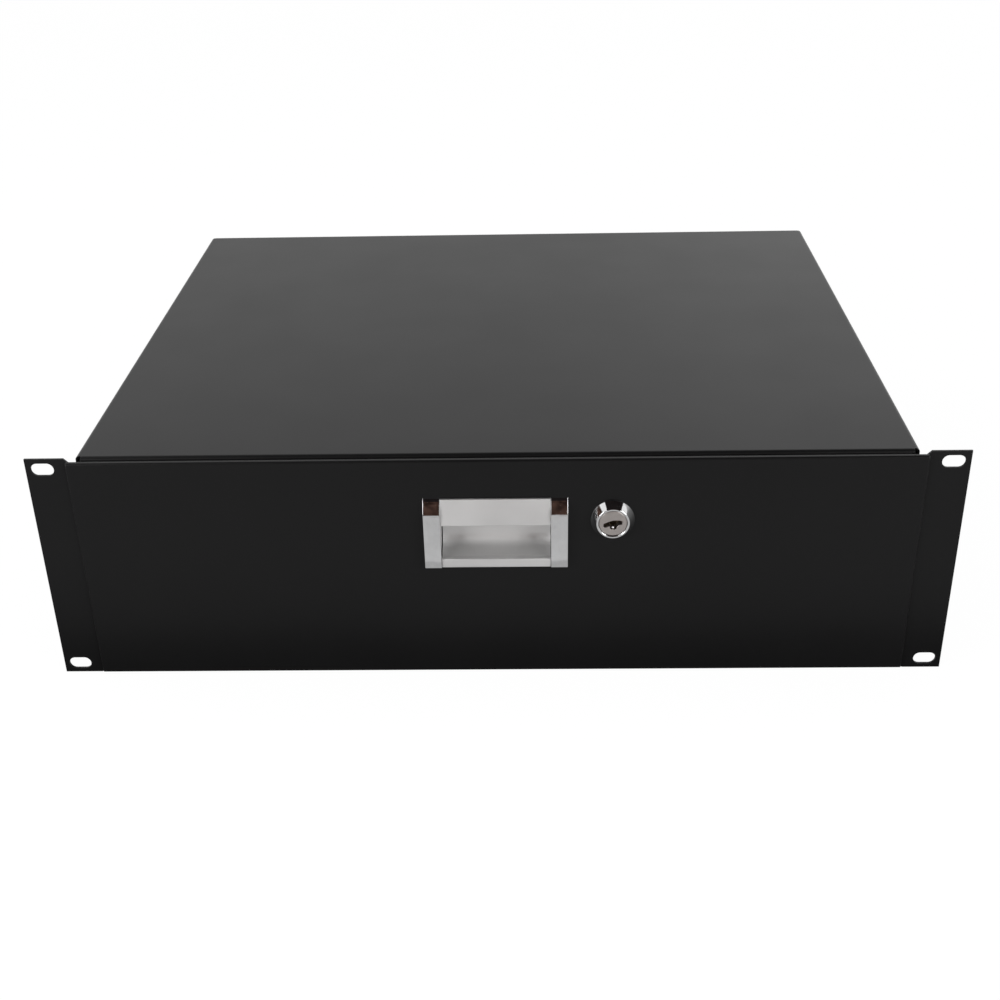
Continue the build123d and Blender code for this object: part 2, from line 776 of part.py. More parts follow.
# Tray back wall: stands between the sides, with its rim and its foot turned to the rear
with BuildPart() as tray_back:
    back_half = tray_half - bend_outer
    with BuildSketch(Plane.YZ.offset(-back_half)):
        add(
            bent_sheet(
                [
                    (tray_back_outer + tray_rim, tray_top - sheet),
                    (tray_back_outer - sheet, tray_top - sheet),
                    (tray_back_outer - sheet, tray_floor_top),
                    (tray_rear, tray_floor_top),
                ]
            )
        )
    extrude(amount=2 * back_half)
tray_back.part.label = "tray_back"
export_step(tray_back.part, "parts/tray_back.step")

# Tray sill: an angle that joins the floor to the tray front wall
with BuildPart() as tray_sill:
    sill_half = tray_half - 2 * bend_outer
    with BuildSketch(Plane.YZ.offset(-sill_half)):
        add(
            bent_sheet(
                [
                    (tray_front_back, sill_top),
                    (tray_front_back, tray_floor_top),
                    (tray_front_back + sill_depth, tray_floor_top),
                ]
            )
        )
    extrude(amount=2 * sill_half)
    with Locations([facing(x, tray_front_back, sill_rivet_z, (0, -1, 0)) for x in sill_rivet_xs]):
        Hole(rivet_shank / 2 + hole_fit, depth=sheet)
tray_sill.part.label = "tray_sill"
export_step(tray_sill.part, "parts/tray_sill.step")


def handle_opening(grow):
    """Cut-out for the handle's recess in an upright sheet, larger than the nominal one by grow."""
    with BuildSketch() as opening:
        with Locations((0, (opening_bottom + opening_top) / 2)):
            Rectangle(2 * (opening_half + grow), opening_top - opening_bottom + 2 * grow)
    return opening.sketch


def lock_opening(grow):
    """Round hole with two flats for the lock barrel, larger than the barrel by grow."""
    with BuildSketch() as opening:
        with Locations((lock_x, lock_z)):
            Circle(barrel_diameter / 2 + grow)
            Rectangle(barrel_flats + 2 * grow, barrel_diameter + 1, mode=Mode.INTERSECT)
    return opening.sketch


# Tray front wall: carries the face, the handle and the lock
with BuildPart() as tray_front:
    with BuildSketch(front_plane(face_back)):
        with Locations((0, face_centre_z)):
            Rectangle(tray_front_width, tray_front_height)
        add(handle_opening(0), mode=Mode.SUBTRACT)
        add(lock_opening(hole_fit), mode=Mode.SUBTRACT)
        with Locations([(x, z) for x in (-cap_screw_x, cap_screw_x) for z in cap_screw_zs]):
            Circle(screw_3_shank / 2 + hole_fit, mode=Mode.SUBTRACT)
        with Locations([(x, z) for x in stud_xs for z in stud_zs]):
            Circle(screw_3_shank / 2 + hole_fit, mode=Mode.SUBTRACT)
        with Locations([(x, z) for x in (-tab_rivet_x, tab_rivet_x) for z in tab_rivet_zs]):
            Circle(rivet_shank / 2 + hole_fit, mode=Mode.SUBTRACT)
        with Locations([(x, sill_rivet_z) for x in sill_rivet_xs]):
            Circle(rivet_shank / 2 + hole_fit, mode=Mode.SUBTRACT)
    extrude(amount=-sheet)
tray_front.part.label = "tray_front"
export_step(tray_front.part, "parts/tray_front.step")

# Front face: a shallow pan whose rounded edges turn back to the tray front wall
with BuildPart() as front_face:
    with BuildSketch(front_plane(face_back)):
        with Locations((0, face_centre_z)):
            Rectangle(face_width, face_height)
    extrude(amount=face_edge_depth)
    fillet(front_face.edges().filter_by(Axis.Y), radius=sheet / 2)
    fillet(front_face.faces().sort_by(Axis.Y)[0].edges(), radius=sheet)
    with BuildSketch(front_plane(face_back)):
        with Locations((0, face_centre_z)):
            Rectangle(face_width - 2 * sheet, face_height - 2 * sheet)
    extrude(amount=face_edge_depth - sheet, mode=Mode.SUBTRACT)
    with BuildSketch(front_plane(face_back)):
        add(handle_opening(0))
        add(lock_opening(hole_fit))
        with Locations([(x, z) for x in (-cap_screw_x, cap_screw_x) for z in cap_screw_zs]):
            Circle(screw_3_shank / 2 + hole_fit)
    extrude(amount=face_edge_depth, mode=Mode.SUBTRACT)
front_face.part.label = "front_face"
export_step(front_face.part, "parts/front_face.step")

# Rivets from the tray front wall into the tray's tabs and sill, with their heads behind the face
front_rivet = dome_rivet(2 * sheet)
with BuildPart() as front_rivets:
    tab_places = [(x, z) for x in (-tab_rivet_x, tab_rivet_x) for z in tab_rivet_zs]
    sill_places = [(x, sill_rivet_z) for x in sill_rivet_xs]
    with Locations([facing(x, face_back, z, (0, -1, 0)) for x, z in tab_places + sill_places]):
        add(front_rivet)
front_rivets.part.label = "front_rivets"
export_step(front_rivets.part, "parts/front_rivets.step")

# Studs welded to the back of the face, each with a collar that spaces it off the tray front wall
stud_places = [(x, z) for x in stud_xs for z in stud_zs]
stud_end = tray_front_back + nut_3_thickness + screw_tip
with BuildPart() as face_studs:
    with BuildSketch(front_plane(face_inner)):
        with Locations(stud_places):
            Circle(screw_3_shank)
    extrude(amount=face_inner - face_back)
    with BuildSketch(front_plane(face_inner)):
        with Locations(stud_places):
            Circle(screw_3_shank / 2)
    extrude(amount=face_inner - stud_end)
face_studs.part.label = "face_studs"
export_step(face_studs.part, "parts/face_studs.step")

# Nuts on the studs, behind the tray front wall
with BuildPart() as face_nuts:
    with BuildSketch(front_plane(tray_front_back)):
        with Locations(stud_places):
            RegularPolygon(nut_3_flats / 2, 6, major_radius=False)
            Circle(screw_3_shank / 2 + hole_fit, mode=Mode.SUBTRACT)
    extrude(amount=-nut_3_thickness)
face_nuts.part.label = "face_nuts"
export_step(face_nuts.part, "parts/face_nuts.step")

# Handle profile: one extruded section with a sloping hood, a scooped recess and a lower lip
hood_bottom = handle_top - hood_height
lip_top = handle_bottom + lip_height
hood_edge = handle_front + hood_setback
lip_front = handle_front + lip_setback
with BuildPart() as handle_profile:
    with BuildSketch(Plane.YZ.offset(-profile_half)):
        with BuildLine():
            Polyline(
                (face_front, handle_top),
                (face_front - handle_wall, handle_top),
                (hood_edge, hood_bottom),
                (hood_edge + handle_wall, hood_bottom),
                (face_front, opening_top - handle_wall),
                close=True,
            )
        make_face()
        with BuildLine():
            FilletPolyline(
                (face_front - handle_wall / 2, opening_top - handle_wall / 2 - hole_fit),
                (recess_back - handle_wall / 2, opening_top - handle_wall / 2 - hole_fit),
                (recess_back - handle_wall / 2, lip_top + scoop_rise),
                (face_front - handle_wall / 2, lip_top - handle_wall / 2),
                radius=(scoop_top_radius, scoop_bottom_radius),
            )
        trace(line_width=handle_wall)
        with BuildLine():
            Polyline(
                (face_front, handle_bottom),
                (lip_front, handle_bottom),
                (lip_front, lip_top),
                (face_front, lip_top),
                close=True,
            )
        make_face()
    extrude(amount=2 * profile_half)
    fillet(
        handle_profile.edges().filter_by(Axis.X).filter_by_position(Axis.Y, handle_front, handle_front + 1),
        radius=handle_wall * 0.4,
    )
handle_profile.part.label = "handle_profile"
export_step(handle_profile.part, "parts/handle_profile.step")

# Handle end caps: flat front with a quarter-ellipse shoulder, and a web that closes the recess
for side in sides:
    with BuildPart() as handle_cap:
        with BuildSketch(Plane.YZ.offset(profile_half)):
            with BuildLine():
                flat_top = handle_bottom + cap_flat_height
                Polyline(
                    (face_front, handle_top),
                    (face_front, handle_bottom),
                    (handle_front, handle_bottom),
                    (handle_front, flat_top),
                )
                EllipticalCenterArc(
                    (face_front, flat_top),
                    handle_stand,
                    handle_top - flat_top,
                    start_angle=90,
                    arc_size=90,
                )
            make_face()
        extrude(amount=handle_cap_width)
        chamfer(handle_cap.faces().sort_by(Axis.Y)[0].edges().filter_by(Axis.Z), length=cap_edge)
        with BuildSketch(Plane.YZ.offset(profile_half)) as web_shape:
            with Locations((face_front, opening_bottom + hole_fit)):
                Rectangle(
                    handle_recess, opening_top - opening_bottom - 2 * hole_fit, align=(Align.MIN, Align.MIN)
                )
            fillet(web_shape.vertices().group_by(Axis.Y)[-1], radius=cap_web_corner)
        extrude(amount=cap_web)
        with Locations([facing(cap_screw_x, face_front, z, (0, 1, 0)) for z in cap_screw_zs]):
            Hole(screw_3_shank / 2, depth=handle_stand * 0.8)
        if side == "left":
            mirror(about=Plane.YZ, mode=Mode.REPLACE)
    handle_cap.part.label = f"handle_cap_{side}"
    export_step(handle_cap.part, f"parts/handle_cap_{side}.step")

# Backing plates behind the tray front wall, one under each pair of handle screws
with BuildPart() as handle_clamps:
    with BuildSketch(front_plane(tray_front_back)):
        for direction in (-1, 1):
            with Locations((direction * cap_screw_x, (handle_bottom + handle_top) / 2)):
                Rectangle(screw_3_head, handle_height)
            with Locations([(direction * cap_screw_x, z) for z in cap_screw_zs]):
                Circle(screw_3_shank / 2 + hole_fit, mode=Mode.SUBTRACT)
    extrude(amount=-backing_plate)
handle_clamps.part.label = "handle_clamps"
export_step(handle_clamps.part, "parts/handle_clamps.step")

# Handle screws: from behind, through plate and sheets, into the end caps
handle_screw_seat = tray_front_back + backing_plate
handle_screw = pan_screw(screw_3_shank, screw_3_head, handle_screw_seat - face_front + handle_stand * 0.7)
with BuildPart() as handle_screws:
    cap_places = [(x, z) for x in (-cap_screw_x, cap_screw_x) for z in cap_screw_zs]
    with Locations([facing(x, handle_screw_seat, z, (0, 1, 0)) for x, z in cap_places]):
        add(handle_screw)
handle_screws.part.label = "handle_screws"
export_step(handle_screws.part, "parts/handle_screws.step")

# Lock: radial sections are drawn from the lock's axis, with local y into the rack
lock_section = Plane(origin=(lock_x, face_front, lock_z), x_dir=(1, 0, 0), z_dir=(0, 0, 1))
lock_axis = Axis((lock_x, face_front, lock_z), (0, 1, 0))
plug_face = plug_recess - bezel_height
plug_shoulder = plug_face + plug_head_length

# Lock housing: conical bezel and a threaded barrel with two flats
with BuildPart() as lock_housing:
    with BuildSketch(lock_section):
        Polygon(
            (plug_diameter / 2 + plug_fit, 0.4 - bezel_height),
            (plug_diameter / 2 + plug_fit + 0.3, -bezel_height),
            (bezel_rim / 2 - 0.3, -bezel_height),
            (bezel_rim / 2, 0.3 - bezel_height),
            (bezel_base / 2, -0.6),
            (bezel_base / 2, 0),
            (barrel_diameter / 2, 0),
            (barrel_diameter / 2, barrel_length),
            (plug_body_diameter / 2 + plug_fit, barrel_length),
            (plug_body_diameter / 2 + plug_fit, plug_shoulder + hole_fit),
            (plug_diameter / 2 + plug_fit, plug_shoulder + hole_fit),
            align=None,
        )
    revolve(axis=lock_axis)
    for direction in (-1, 1):
        with Locations((lock_x + direction * barrel_flats / 2, face_front, lock_z)):
            Box(
                barrel_diameter,
                barrel_length,
                barrel_diameter,
                align=(Align.MAX if direction < 0 else Align.MIN, Align.MIN, Align.CENTER),
                mode=Mode.SUBTRACT,
            )
lock_housing.part.label = "lock_housing"
export_step(lock_housing.part, "parts/lock_housing.step")

# Lock washer and hexagon nut behind the tray front wall
with BuildPart() as lock_washer:
    with BuildSketch(front_plane(tray_front_back)):
        with Locations((lock_x, lock_z)):
            Circle(lock_washer_diameter / 2)
            Circle(barrel_diameter / 2 + hole_fit, mode=Mode.SUBTRACT)
    extrude(amount=-lock_washer_thickness)
lock_washer.part.label = "lock_washer"
export_step(lock_washer.part, "parts/lock_washer.step")

with BuildPart() as lock_nut:
    with BuildSketch(front_plane(tray_front_back + lock_washer_thickness)):
        with Locations((lock_x, lock_z)):
            RegularPolygon(lock_nut_flats / 2, 6, major_radius=False)
            Circle(barrel_diameter / 2 + hole_fit, mode=Mode.SUBTRACT)
    extrude(amount=-lock_nut_thickness)
lock_nut.part.label = "lock_nut"
export_step(lock_nut.part, "parts/lock_nut.step")

# Lock plug: turns in the housing. Its keyway is a stepped slot, with wafer slots across it
tail_end = barrel_length + running_gap + cam_thickness - hole_fit
with BuildPart() as lock_plug:
    with BuildSketch(lock_section):
        Polygon(
            (0, plug_face),
            (plug_diameter / 2, plug_face),
            (plug_diameter / 2, plug_shoulder),
            (plug_body_diameter / 2, plug_shoulder),
            (plug_body_diameter / 2, barrel_length + running_gap / 2),
            (0, barrel_length + running_gap / 2),
            align=None,
        )
    revolve(axis=lock_axis)
    with BuildSketch(front_plane(face_front + barrel_length)):
        with Locations((lock_x, lock_z)):
            Rectangle(cam_square, cam_square)
    extrude(amount=barrel_length - tail_end)
    with BuildSketch(front_plane(face_front + plug_face)):
        with Locations(Location((lock_x, lock_z), keyway_tilt)):
            with Locations((-keyway_width / 4, -keyway_height / 4)):
                Rectangle(keyway_width / 2 + keyway_lap, keyway_height)
            with Locations(((keyway_width - keyway_lap) / 4, keyway_height / 4)):
                Rectangle(keyway_width / 2, keyway_height)
            with Locations((keyway_lap, -keyway_height / 2)):
                Rectangle(keyway_width / 4, keyway_height)
    extrude(amount=-keyway_depth, mode=Mode.SUBTRACT)
    for y in wafer_ys:
        with BuildSketch(front_plane(y)):
            with Locations(Location((lock_x, lock_z), keyway_tilt)):
                Rectangle(plug_diameter, keyway_height * 4)
        extrude(amount=-wafer_sheet - 2 * hole_fit, mode=Mode.SUBTRACT)
    with BuildSketch(front_plane(face_front + tail_end)):
        with Locations((lock_x, lock_z)):
            Circle(screw_4_shank / 2 + hole_fit)
    extrude(amount=screw_4_shank, mode=Mode.SUBTRACT)
lock_plug.part.label = "lock_plug"
export_step(lock_plug.part, "parts/lock_plug.step")

# Wafers: thin plates with a window for the key, in slots across the plug
with BuildPart() as lock_wafers:
    for y in wafer_ys:
        with BuildSketch(front_plane(y + hole_fit)):
            with Locations(Location((lock_x, lock_z), keyway_tilt)):
                Rectangle(plug_body_diameter * 0.86, keyway_height * 4 - 4 * hole_fit)
                Rectangle(keyway_width * 0.8, keyway_height * 1.4, mode=Mode.SUBTRACT)
        extrude(amount=-wafer_sheet)
lock_wafers.part.label = "lock_wafers"
export_step(lock_wafers.part, "parts/lock_wafers.step")

# Lock cam: points sideways when unlocked, and upwards behind the strike when locked
with BuildPart() as lock_cam:
    with BuildSketch(front_plane(cam_front)):
        with Locations((lock_x, lock_z)):
            Circle(cam_width / 2)
            Rectangle(cam_reach - cam_width / 4, cam_width, align=(Align.MIN, Align.CENTER))
        with Locations((lock_x + cam_reach - cam_width / 4, lock_z)):
            Rectangle(cam_width / 4, cam_width * 0.7, align=(Align.MIN, Align.CENTER))
        with Locations((lock_x, lock_z)):
            Rectangle(cam_square + 2 * hole_fit, cam_square + 2 * hole_fit, mode=Mode.SUBTRACT)
    extrude(amount=-cam_thickness)
lock_cam.part.label = "lock_cam"
export_step(lock_cam.part, "parts/lock_cam.step")

# Cam screw: holds the cam on the plug's square tail
with BuildPart() as cam_screw:
    with Locations(facing(lock_x, cam_back, lock_z, (0, 1, 0))):
        add(pan_screw(screw_4_shank, cam_square * 1.4, screw_4_shank))
cam_screw.part.label = "cam_screw"
export_step(cam_screw.part, "parts/cam_screw.step")
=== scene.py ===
"""Sliding rack drawer: studio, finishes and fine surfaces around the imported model.

The shared frame is in metres, with +X to the right of the rack, +Y into it and +Z up. Sizes of the
drawer's pieces are in millimetres, and every shell is scaled once, when its mesh is made. Sizes of
finishes, lamps and cards are in metres.
"""

import json
import logging
import math
from dataclasses import dataclass, field
from enum import Enum

import bmesh
import bpy
import numpy as np
from mathutils import Matrix, Vector


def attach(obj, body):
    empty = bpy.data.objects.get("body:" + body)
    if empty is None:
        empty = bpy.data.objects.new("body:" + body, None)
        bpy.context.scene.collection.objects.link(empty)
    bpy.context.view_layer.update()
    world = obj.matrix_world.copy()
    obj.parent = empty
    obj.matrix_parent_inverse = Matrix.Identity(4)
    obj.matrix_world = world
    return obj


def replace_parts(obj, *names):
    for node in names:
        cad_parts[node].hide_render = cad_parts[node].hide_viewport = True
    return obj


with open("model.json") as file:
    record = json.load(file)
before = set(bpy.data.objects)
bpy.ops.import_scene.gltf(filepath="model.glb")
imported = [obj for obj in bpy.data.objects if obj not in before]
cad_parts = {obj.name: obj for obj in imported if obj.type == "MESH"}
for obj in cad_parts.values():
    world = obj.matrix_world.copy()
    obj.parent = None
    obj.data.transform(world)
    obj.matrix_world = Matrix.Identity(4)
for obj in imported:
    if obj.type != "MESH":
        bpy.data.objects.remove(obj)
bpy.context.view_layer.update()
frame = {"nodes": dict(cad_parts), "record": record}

LOG = logging.getLogger("rack_drawer")
MM = 0.001
# In millimetres: the lock's axis, the front of the drawer's face, and the gaps closed in a mesh.
LOCK_X, LOCK_Z = 60.6, 29.8
SHEET_FRONT = -3.8
MERGE_GAP = 0.002
SLIVER = 0.001
# Largest share of an edge that a rounded corner takes, and the least divisor of a mitred normal.
CORNER_SHARE = 0.49
MITRE_LIMIT = 0.3
# In metres: the floor, and the foot of the cards just above it.
FLOOR_HEIGHT = -0.0663
CARD_FOOT = FLOOR_HEIGHT + 0.0002
Colour = tuple[float, float, float]
Point2 = tuple[float, float]
Point3 = tuple[float, float, float]
Node = bpy.types.Node
Socket = bpy.types.NodeSocket
Tree = bpy.types.NodeTree
Value = Socket | float | tuple[float, ...]


def feed(tree: Tree, place: Socket, value: Value) -> None:
    """Link a socket to an input, or set the input where the value is fixed.

    Args:
        tree: node tree of both.
        place: the input.
        value: socket, number, vector or colour.
    """
    if isinstance(value, Socket):
        tree.links.new(value, place)
    else:
        place.default_value = value


def operate(tree: Tree, kind: str, operation: str, *values: Value) -> Node:
    """Add a node that works something out.

    Args:
        tree: node tree to add to.
        kind: Math or VectorMath.
        operation: name of the operation.
        values: its inputs, in order.

    Returns:
        The node.
    """
    node = tree.nodes.new(f"ShaderNode{kind}")
    node.operation = operation
    for place, value in zip(node.inputs, values):
        feed(tree, place, value)
    return node


def mix_colours(tree: Tree, factor: Socket, first: Value, second: Value) -> Socket:
    """Mix two colours, each a socket or fixed.

    Args:
        tree: node tree to add to.
        factor: share of the second colour.
        first: colour at factor 0.
        second: colour at factor 1.

    Returns:
        Socket of the mixed colour.
    """
    mix = tree.nodes.new("ShaderNodeMix")
    mix.data_type = "RGBA"
    tree.links.new(factor, mix.inputs["Factor"])
    places = [socket for socket in mix.inputs if socket.type == "RGBA"]
    for place, colour in zip(places, (first, second)):
        feed(tree, place, colour if isinstance(colour, Socket) else (*colour, 1.0))
    return next(socket for socket in mix.outputs if socket.type == "RGBA")


def soft_noise(tree: Tree, place: Socket, size: float, stretch: Point3, detail: float) -> Socket:
    """Add a noise whose features have the given size in metres.

    Args:
        tree: node tree to add to.
        place: coordinate socket.
        size: size of a feature.
        stretch: factor on each axis, small where the grain runs long.
        detail: noise detail.

    Returns:
        The noise's value socket.
    """
    mapping = tree.nodes.new("ShaderNodeMapping")
    mapping.inputs["Scale"].default_value = stretch
    noise = tree.nodes.new("ShaderNodeTexNoise")
    noise.inputs["Scale"].default_value = 1.0 / size
    noise.inputs["Detail"].default_value = detail
    tree.links.new(place, mapping.inputs["Vector"])
    tree.links.new(mapping.outputs["Vector"], noise.inputs["Vector"])
    return noise.outputs["Fac"]


def map_range(tree: Tree, value: Socket, source: Point2, target: Point2) -> Socket:
    """Map a value from one range to another, clamped.

    Args:
        tree: node tree to add to.
        value: socket to map.
        source: ends of the range the value comes from.
        target: ends of the range it goes to.

    Returns:
        Socket of the mapped value.
    """
    ramp = tree.nodes.new("ShaderNodeMapRange")
    for name, number in zip(("From Min", "From Max", "To Min", "To Max"), (*source, *target)):
        ramp.inputs[name].default_value = number
    tree.links.new(value, ramp.inputs["Value"])
    return ramp.outputs["Result"]


class Slot(Enum):
    """Material slots of the record."""

    POWDER = "powder_black"
    OXIDE = "black_fastener"
    ZINC = "zinc_steel"
    BALL_STEEL = "bearing_steel"
    RUBBER = "bumper_rubber"
    LEVER = "lever_plastic"
    ALUMINIUM = "anodised_aluminium"
    CHROME = "chrome_plate"
    NICKEL = "plug_nickel"
    BRASS = "wafer_brass"


class Grain(Enum):
    """Surface grain of a finish: how its noise is stretched along X, Y and Z."""

    EVEN = (1.0, 1.0, 1.0)
    DRAWN_X = (0.02, 1.0, 1.0)
    DRAWN_Y = (1.0, 0.02, 1.0)
    TURNED = (0.0, 0.0, 0.0)


class Head(Enum):
    """Head forms of the fasteners."""

    PAN = "pan"
    COUNTERSUNK = "countersunk"
    DOME = "dome"


@dataclass(frozen=True)
class Finish:
    """One surface finish, with its colour, gloss and grain.

    Sizes are in metres. The cloud is a soft variation of colour and gloss, and the grain is a bump.
    The edge highlight range holds the cosines between true and rounded normal where the painted edge
    highlight starts and is full.
    """

    slot: Slot
    colour: Colour
    metallic: float = 0.0
    roughness: float = 0.5
    roughness_spread: float = 0.04
    colour_spread: float = 0.06
    cloud_size: float = 0.03
    cloud_detail: float = 3.0
    cloud_range: Point2 = (0.3, 0.7)
    ior: float = 1.5
    grain: Grain = Grain.EVEN
    grain_size: float = 0.0008
    grain_depth: float = 0.00001
    grain_detail: float = 2.0
    edge_radius: float = 0.0
    # Painted highlight: the lighter colour laid on the edges where they would catch the light.
    edge_highlight_colour: Colour = (0.1, 0.1, 0.1)
    edge_highlight_range: Point2 = (0.995, 0.85)
    edge_samples: int = 6
    axis: Point3 = (0.0, 0.0, 0.0)

    def material(self) -> bpy.types.Material:
        """Build the material's node tree.

        Returns:
            A material whose colour, roughness and normal come from Object coordinates.
        """
        material = bpy.data.materials.new(self.slot.value)
        material.use_nodes = True
        tree = material.node_tree
        shader = tree.nodes["Principled BSDF"]
        shader.inputs["Metallic"].default_value = self.metallic
        shader.inputs["IOR"].default_value = self.ior
        place = tree.nodes.new("ShaderNodeTexCoord").outputs["Object"]
        cloud = soft_noise(tree, place, self.cloud_size, Grain.EVEN.value, self.cloud_detail)
        share = map_range(tree, cloud, self.cloud_range, (0.0, 1.0))
        darker = tuple(value * (1.0 - self.colour_spread) for value in self.colour)
        lighter = tuple(value * (1.0 + self.colour_spread) for value in self.colour)
        colour = mix_colours(tree, share, darker, lighter)
        spread = self.roughness_spread
        rough = map_range(tree, cloud, self.cloud_range, (self.roughness - spread, self.roughness + spread))
        bump = tree.nodes.new("ShaderNodeBump")
        bump.inputs["Strength"].default_value = 1.0
        bump.inputs["Distance"].default_value = self.grain_depth
        if self.grain is Grain.TURNED:
            height = self._rings(tree, place)
        else:
            height = soft_noise(tree, place, self.grain_size, self.grain.value, self.grain_detail)
        tree.links.new(height, bump.inputs["Height"])
        # Painted highlight: sheet and plate edges are lightened in colour where they would catch the light.
        if self.edge_radius:
            colour = self._paint_edge_highlights(tree, bump, colour)
        tree.links.new(colour, shader.inputs["Base Color"])
        tree.links.new(rough, shader.inputs["Roughness"])
        tree.links.new(bump.outputs["Normal"], shader.inputs["Normal"])
        return material

    def _rings(self, tree: Tree, place: Socket) -> Socket:
        """Add lathe rings about the finish's axis: the sine of the distance from it in the XZ plane.

        Args:
            tree: node tree to add to.
            place: coordinate socket.

        Returns:
            Socket of the rings' height, from -1 to 1.
        """
        mapping = tree.nodes.new("ShaderNodeMapping")
        mapping.inputs["Location"].default_value = [-value for value in self.axis]
        tree.links.new(place, mapping.inputs["Vector"])
        flat = operate(tree, "VectorMath", "MULTIPLY", mapping.outputs["Vector"], (1.0, 0.0, 1.0))
        length = operate(tree, "VectorMath", "LENGTH", flat.outputs["Vector"])
        turns = operate(tree, "Math", "MULTIPLY", length.outputs["Value"], 2.0 * math.pi / self.grain_size)
        return operate(tree, "Math", "SINE", turns.outputs[0]).outputs[0]

    def _paint_edge_highlights(self, tree: Tree, bump: Node, colour: Socket) -> Socket:
        """Round the sheet's edges in the normal, and paint a lighter highlight on them where the rounded
        normal turns away.

        Args:
            tree: node tree to add to.
            bump: bump node that takes the rounded normal.
            colour: colour of the flat surface.

        Returns:
            The colour with its painted edge highlights.
        """
        bevel = tree.nodes.new("ShaderNodeBevel")
        bevel.samples = self.edge_samples
        bevel.inputs["Radius"].default_value = self.edge_radius
        tree.links.new(bevel.outputs["Normal"], bump.inputs["Normal"])
        geometry = tree.nodes.new("ShaderNodeNewGeometry")
        normals = (bevel.outputs["Normal"], geometry.outputs["Normal"])
        dot = operate(tree, "VectorMath", "DOT_PRODUCT", *normals)
        # Mask of the painted edge highlight: how far the rounded normal turns from the true one.
        edge = map_range(tree, dot.outputs["Value"], self.edge_highlight_range, (0.0, 1.0))
        return mix_colours(tree, edge, colour, self.edge_highlight_colour)


FINISHES = (
    Finish(
        Slot.POWDER, (0.0043, 0.0042, 0.0044), roughness=0.38, roughness_spread=0.014, colour_spread=0.05,
        cloud_size=0.05, ior=1.305, grain_size=0.0009, grain_depth=0.000012,
        # Painted highlight: lighter powder coat on the edges.
        edge_radius=0.00035, edge_highlight_colour=(0.035, 0.035, 0.035),
    ),
    Finish(Slot.OXIDE, (0.02, 0.02, 0.021), roughness=0.38, grain_size=0.0004),
    Finish(
        Slot.ZINC, (0.55, 0.56, 0.57), metallic=1.0, roughness=0.3, roughness_spread=0.05,
        colour_spread=0.05, cloud_size=0.01, grain=Grain.DRAWN_Y, grain_size=0.0014, grain_depth=0.000008,
        # Painted highlight: lighter zinc on the edges.
        edge_radius=0.0002, edge_highlight_colour=(0.66, 0.66, 0.67),
    ),
    Finish(
        Slot.BALL_STEEL, (0.7, 0.7, 0.71), metallic=1.0, roughness=0.08, roughness_spread=0.02,
        colour_spread=0.02, cloud_size=0.004, grain_size=0.001, grain_depth=0.000001,
    ),
    Finish(Slot.RUBBER, (0.02, 0.02, 0.02), roughness=0.75, grain_size=0.0006, grain_depth=0.00003),
    Finish(Slot.LEVER, (0.028, 0.028, 0.03), grain_size=0.0005),
    Finish(
        Slot.ALUMINIUM, (0.76, 0.755, 0.75), metallic=0.88, roughness=0.52, roughness_spread=0.03,
        colour_spread=0.03, cloud_size=0.02, grain=Grain.DRAWN_X, grain_size=0.0003, grain_depth=0.000006,
    ),
    Finish(
        Slot.CHROME, (0.75, 0.75, 0.755), metallic=1.0, roughness=0.09, roughness_spread=0.03,
        colour_spread=0.03, cloud_size=0.004, grain_size=0.0045, grain_depth=0.00003,
    ),
    Finish(
        Slot.NICKEL, (0.5, 0.46, 0.44), metallic=1.0, roughness=0.34, roughness_spread=0.05,
        cloud_size=0.004, grain=Grain.TURNED, grain_size=0.0004, grain_depth=0.000004,
        axis=(LOCK_X * MM, 0.0, LOCK_Z * MM),
    ),
    Finish(Slot.BRASS, (0.13, 0.105, 0.07), metallic=1.0, roughness=0.42, grain_size=0.0006),
)
MATERIALS: dict[str, bpy.types.Material] = {}


def unit(vectors: np.ndarray) -> np.ndarray:
    """Scale each vector of an array to length one."""
    return vectors / np.maximum(np.linalg.norm(vectors, axis=-1, keepdims=True), 1e-12)


def rounded_outline(points: list[Point2], radii: list[float], steps: int) -> np.ndarray:
    """Round the corners of a closed polygon.

    At each corner an arc of the given radius touches both edges. Its centre lies on the corner's
    bisector, at the radius over the sine of half the angle, and its points turn evenly between
    the two touching radii.

    Args:
        points: corners of the polygon, in order.
        radii: radius at each corner, or 0 for a sharp one.
        steps: points along each arc, less one.

    Returns:
        Points of the rounded outline, as an array of shape (n, 2).
    """
    corners = np.array(points, float)
    parts = []
    neighbours = zip(corners, np.roll(corners, 1, 0), np.roll(corners, -1, 0), radii)
    for corner, before, after, radius in neighbours:
        if radius <= 0:
            parts.append(corner[None])
            continue
        back, ahead = unit(before - corner), unit(after - corner)
        half = math.acos(float(np.clip(back @ ahead, -1, 1))) / 2
        reach = radius / math.tan(half)
        limit = CORNER_SHARE * min(np.linalg.norm(before - corner), np.linalg.norm(after - corner))
        if reach > limit:
            radius, reach = limit * math.tan(half), limit
        centre = corner + unit(back + ahead) * radius / math.sin(half)
        start, end = corner + back * reach - centre, corner + ahead * reach - centre
        turn = math.pi - 2 * half
        share = np.linspace(0, 1, steps + 1)[:, None]
        arc = np.sin((1 - share) * turn) * start + np.sin(share * turn) * end
        parts.append(centre + arc / math.sin(turn))
    return np.concatenate(parts)


def inset_outline(outline: np.ndarray, distance: float) -> np.ndarray:
    """Move a closed outline inwards by a distance, along the mitred normals of its corners.

    Args:
        outline: points of shape (n, 2), in either direction.
        distance: how far each edge moves inwards.

    Returns:
        The inset outline, of the same shape.
    """
    after = np.roll(outline, -1, 0)
    edge = after - outline
    area = float(np.sum(outline[:, 0] * after[:, 1] - after[:, 0] * outline[:, 1]))
    normal = unit(np.stack([-edge[:, 1], edge[:, 0]], 1)) * math.copysign(1.0, area)
    before = np.roll(normal, 1, 0)
    mitre = (normal + before) / np.maximum(1 + np.sum(normal * before, 1, keepdims=True), MITRE_LIMIT)
    return outline + distance * mitre


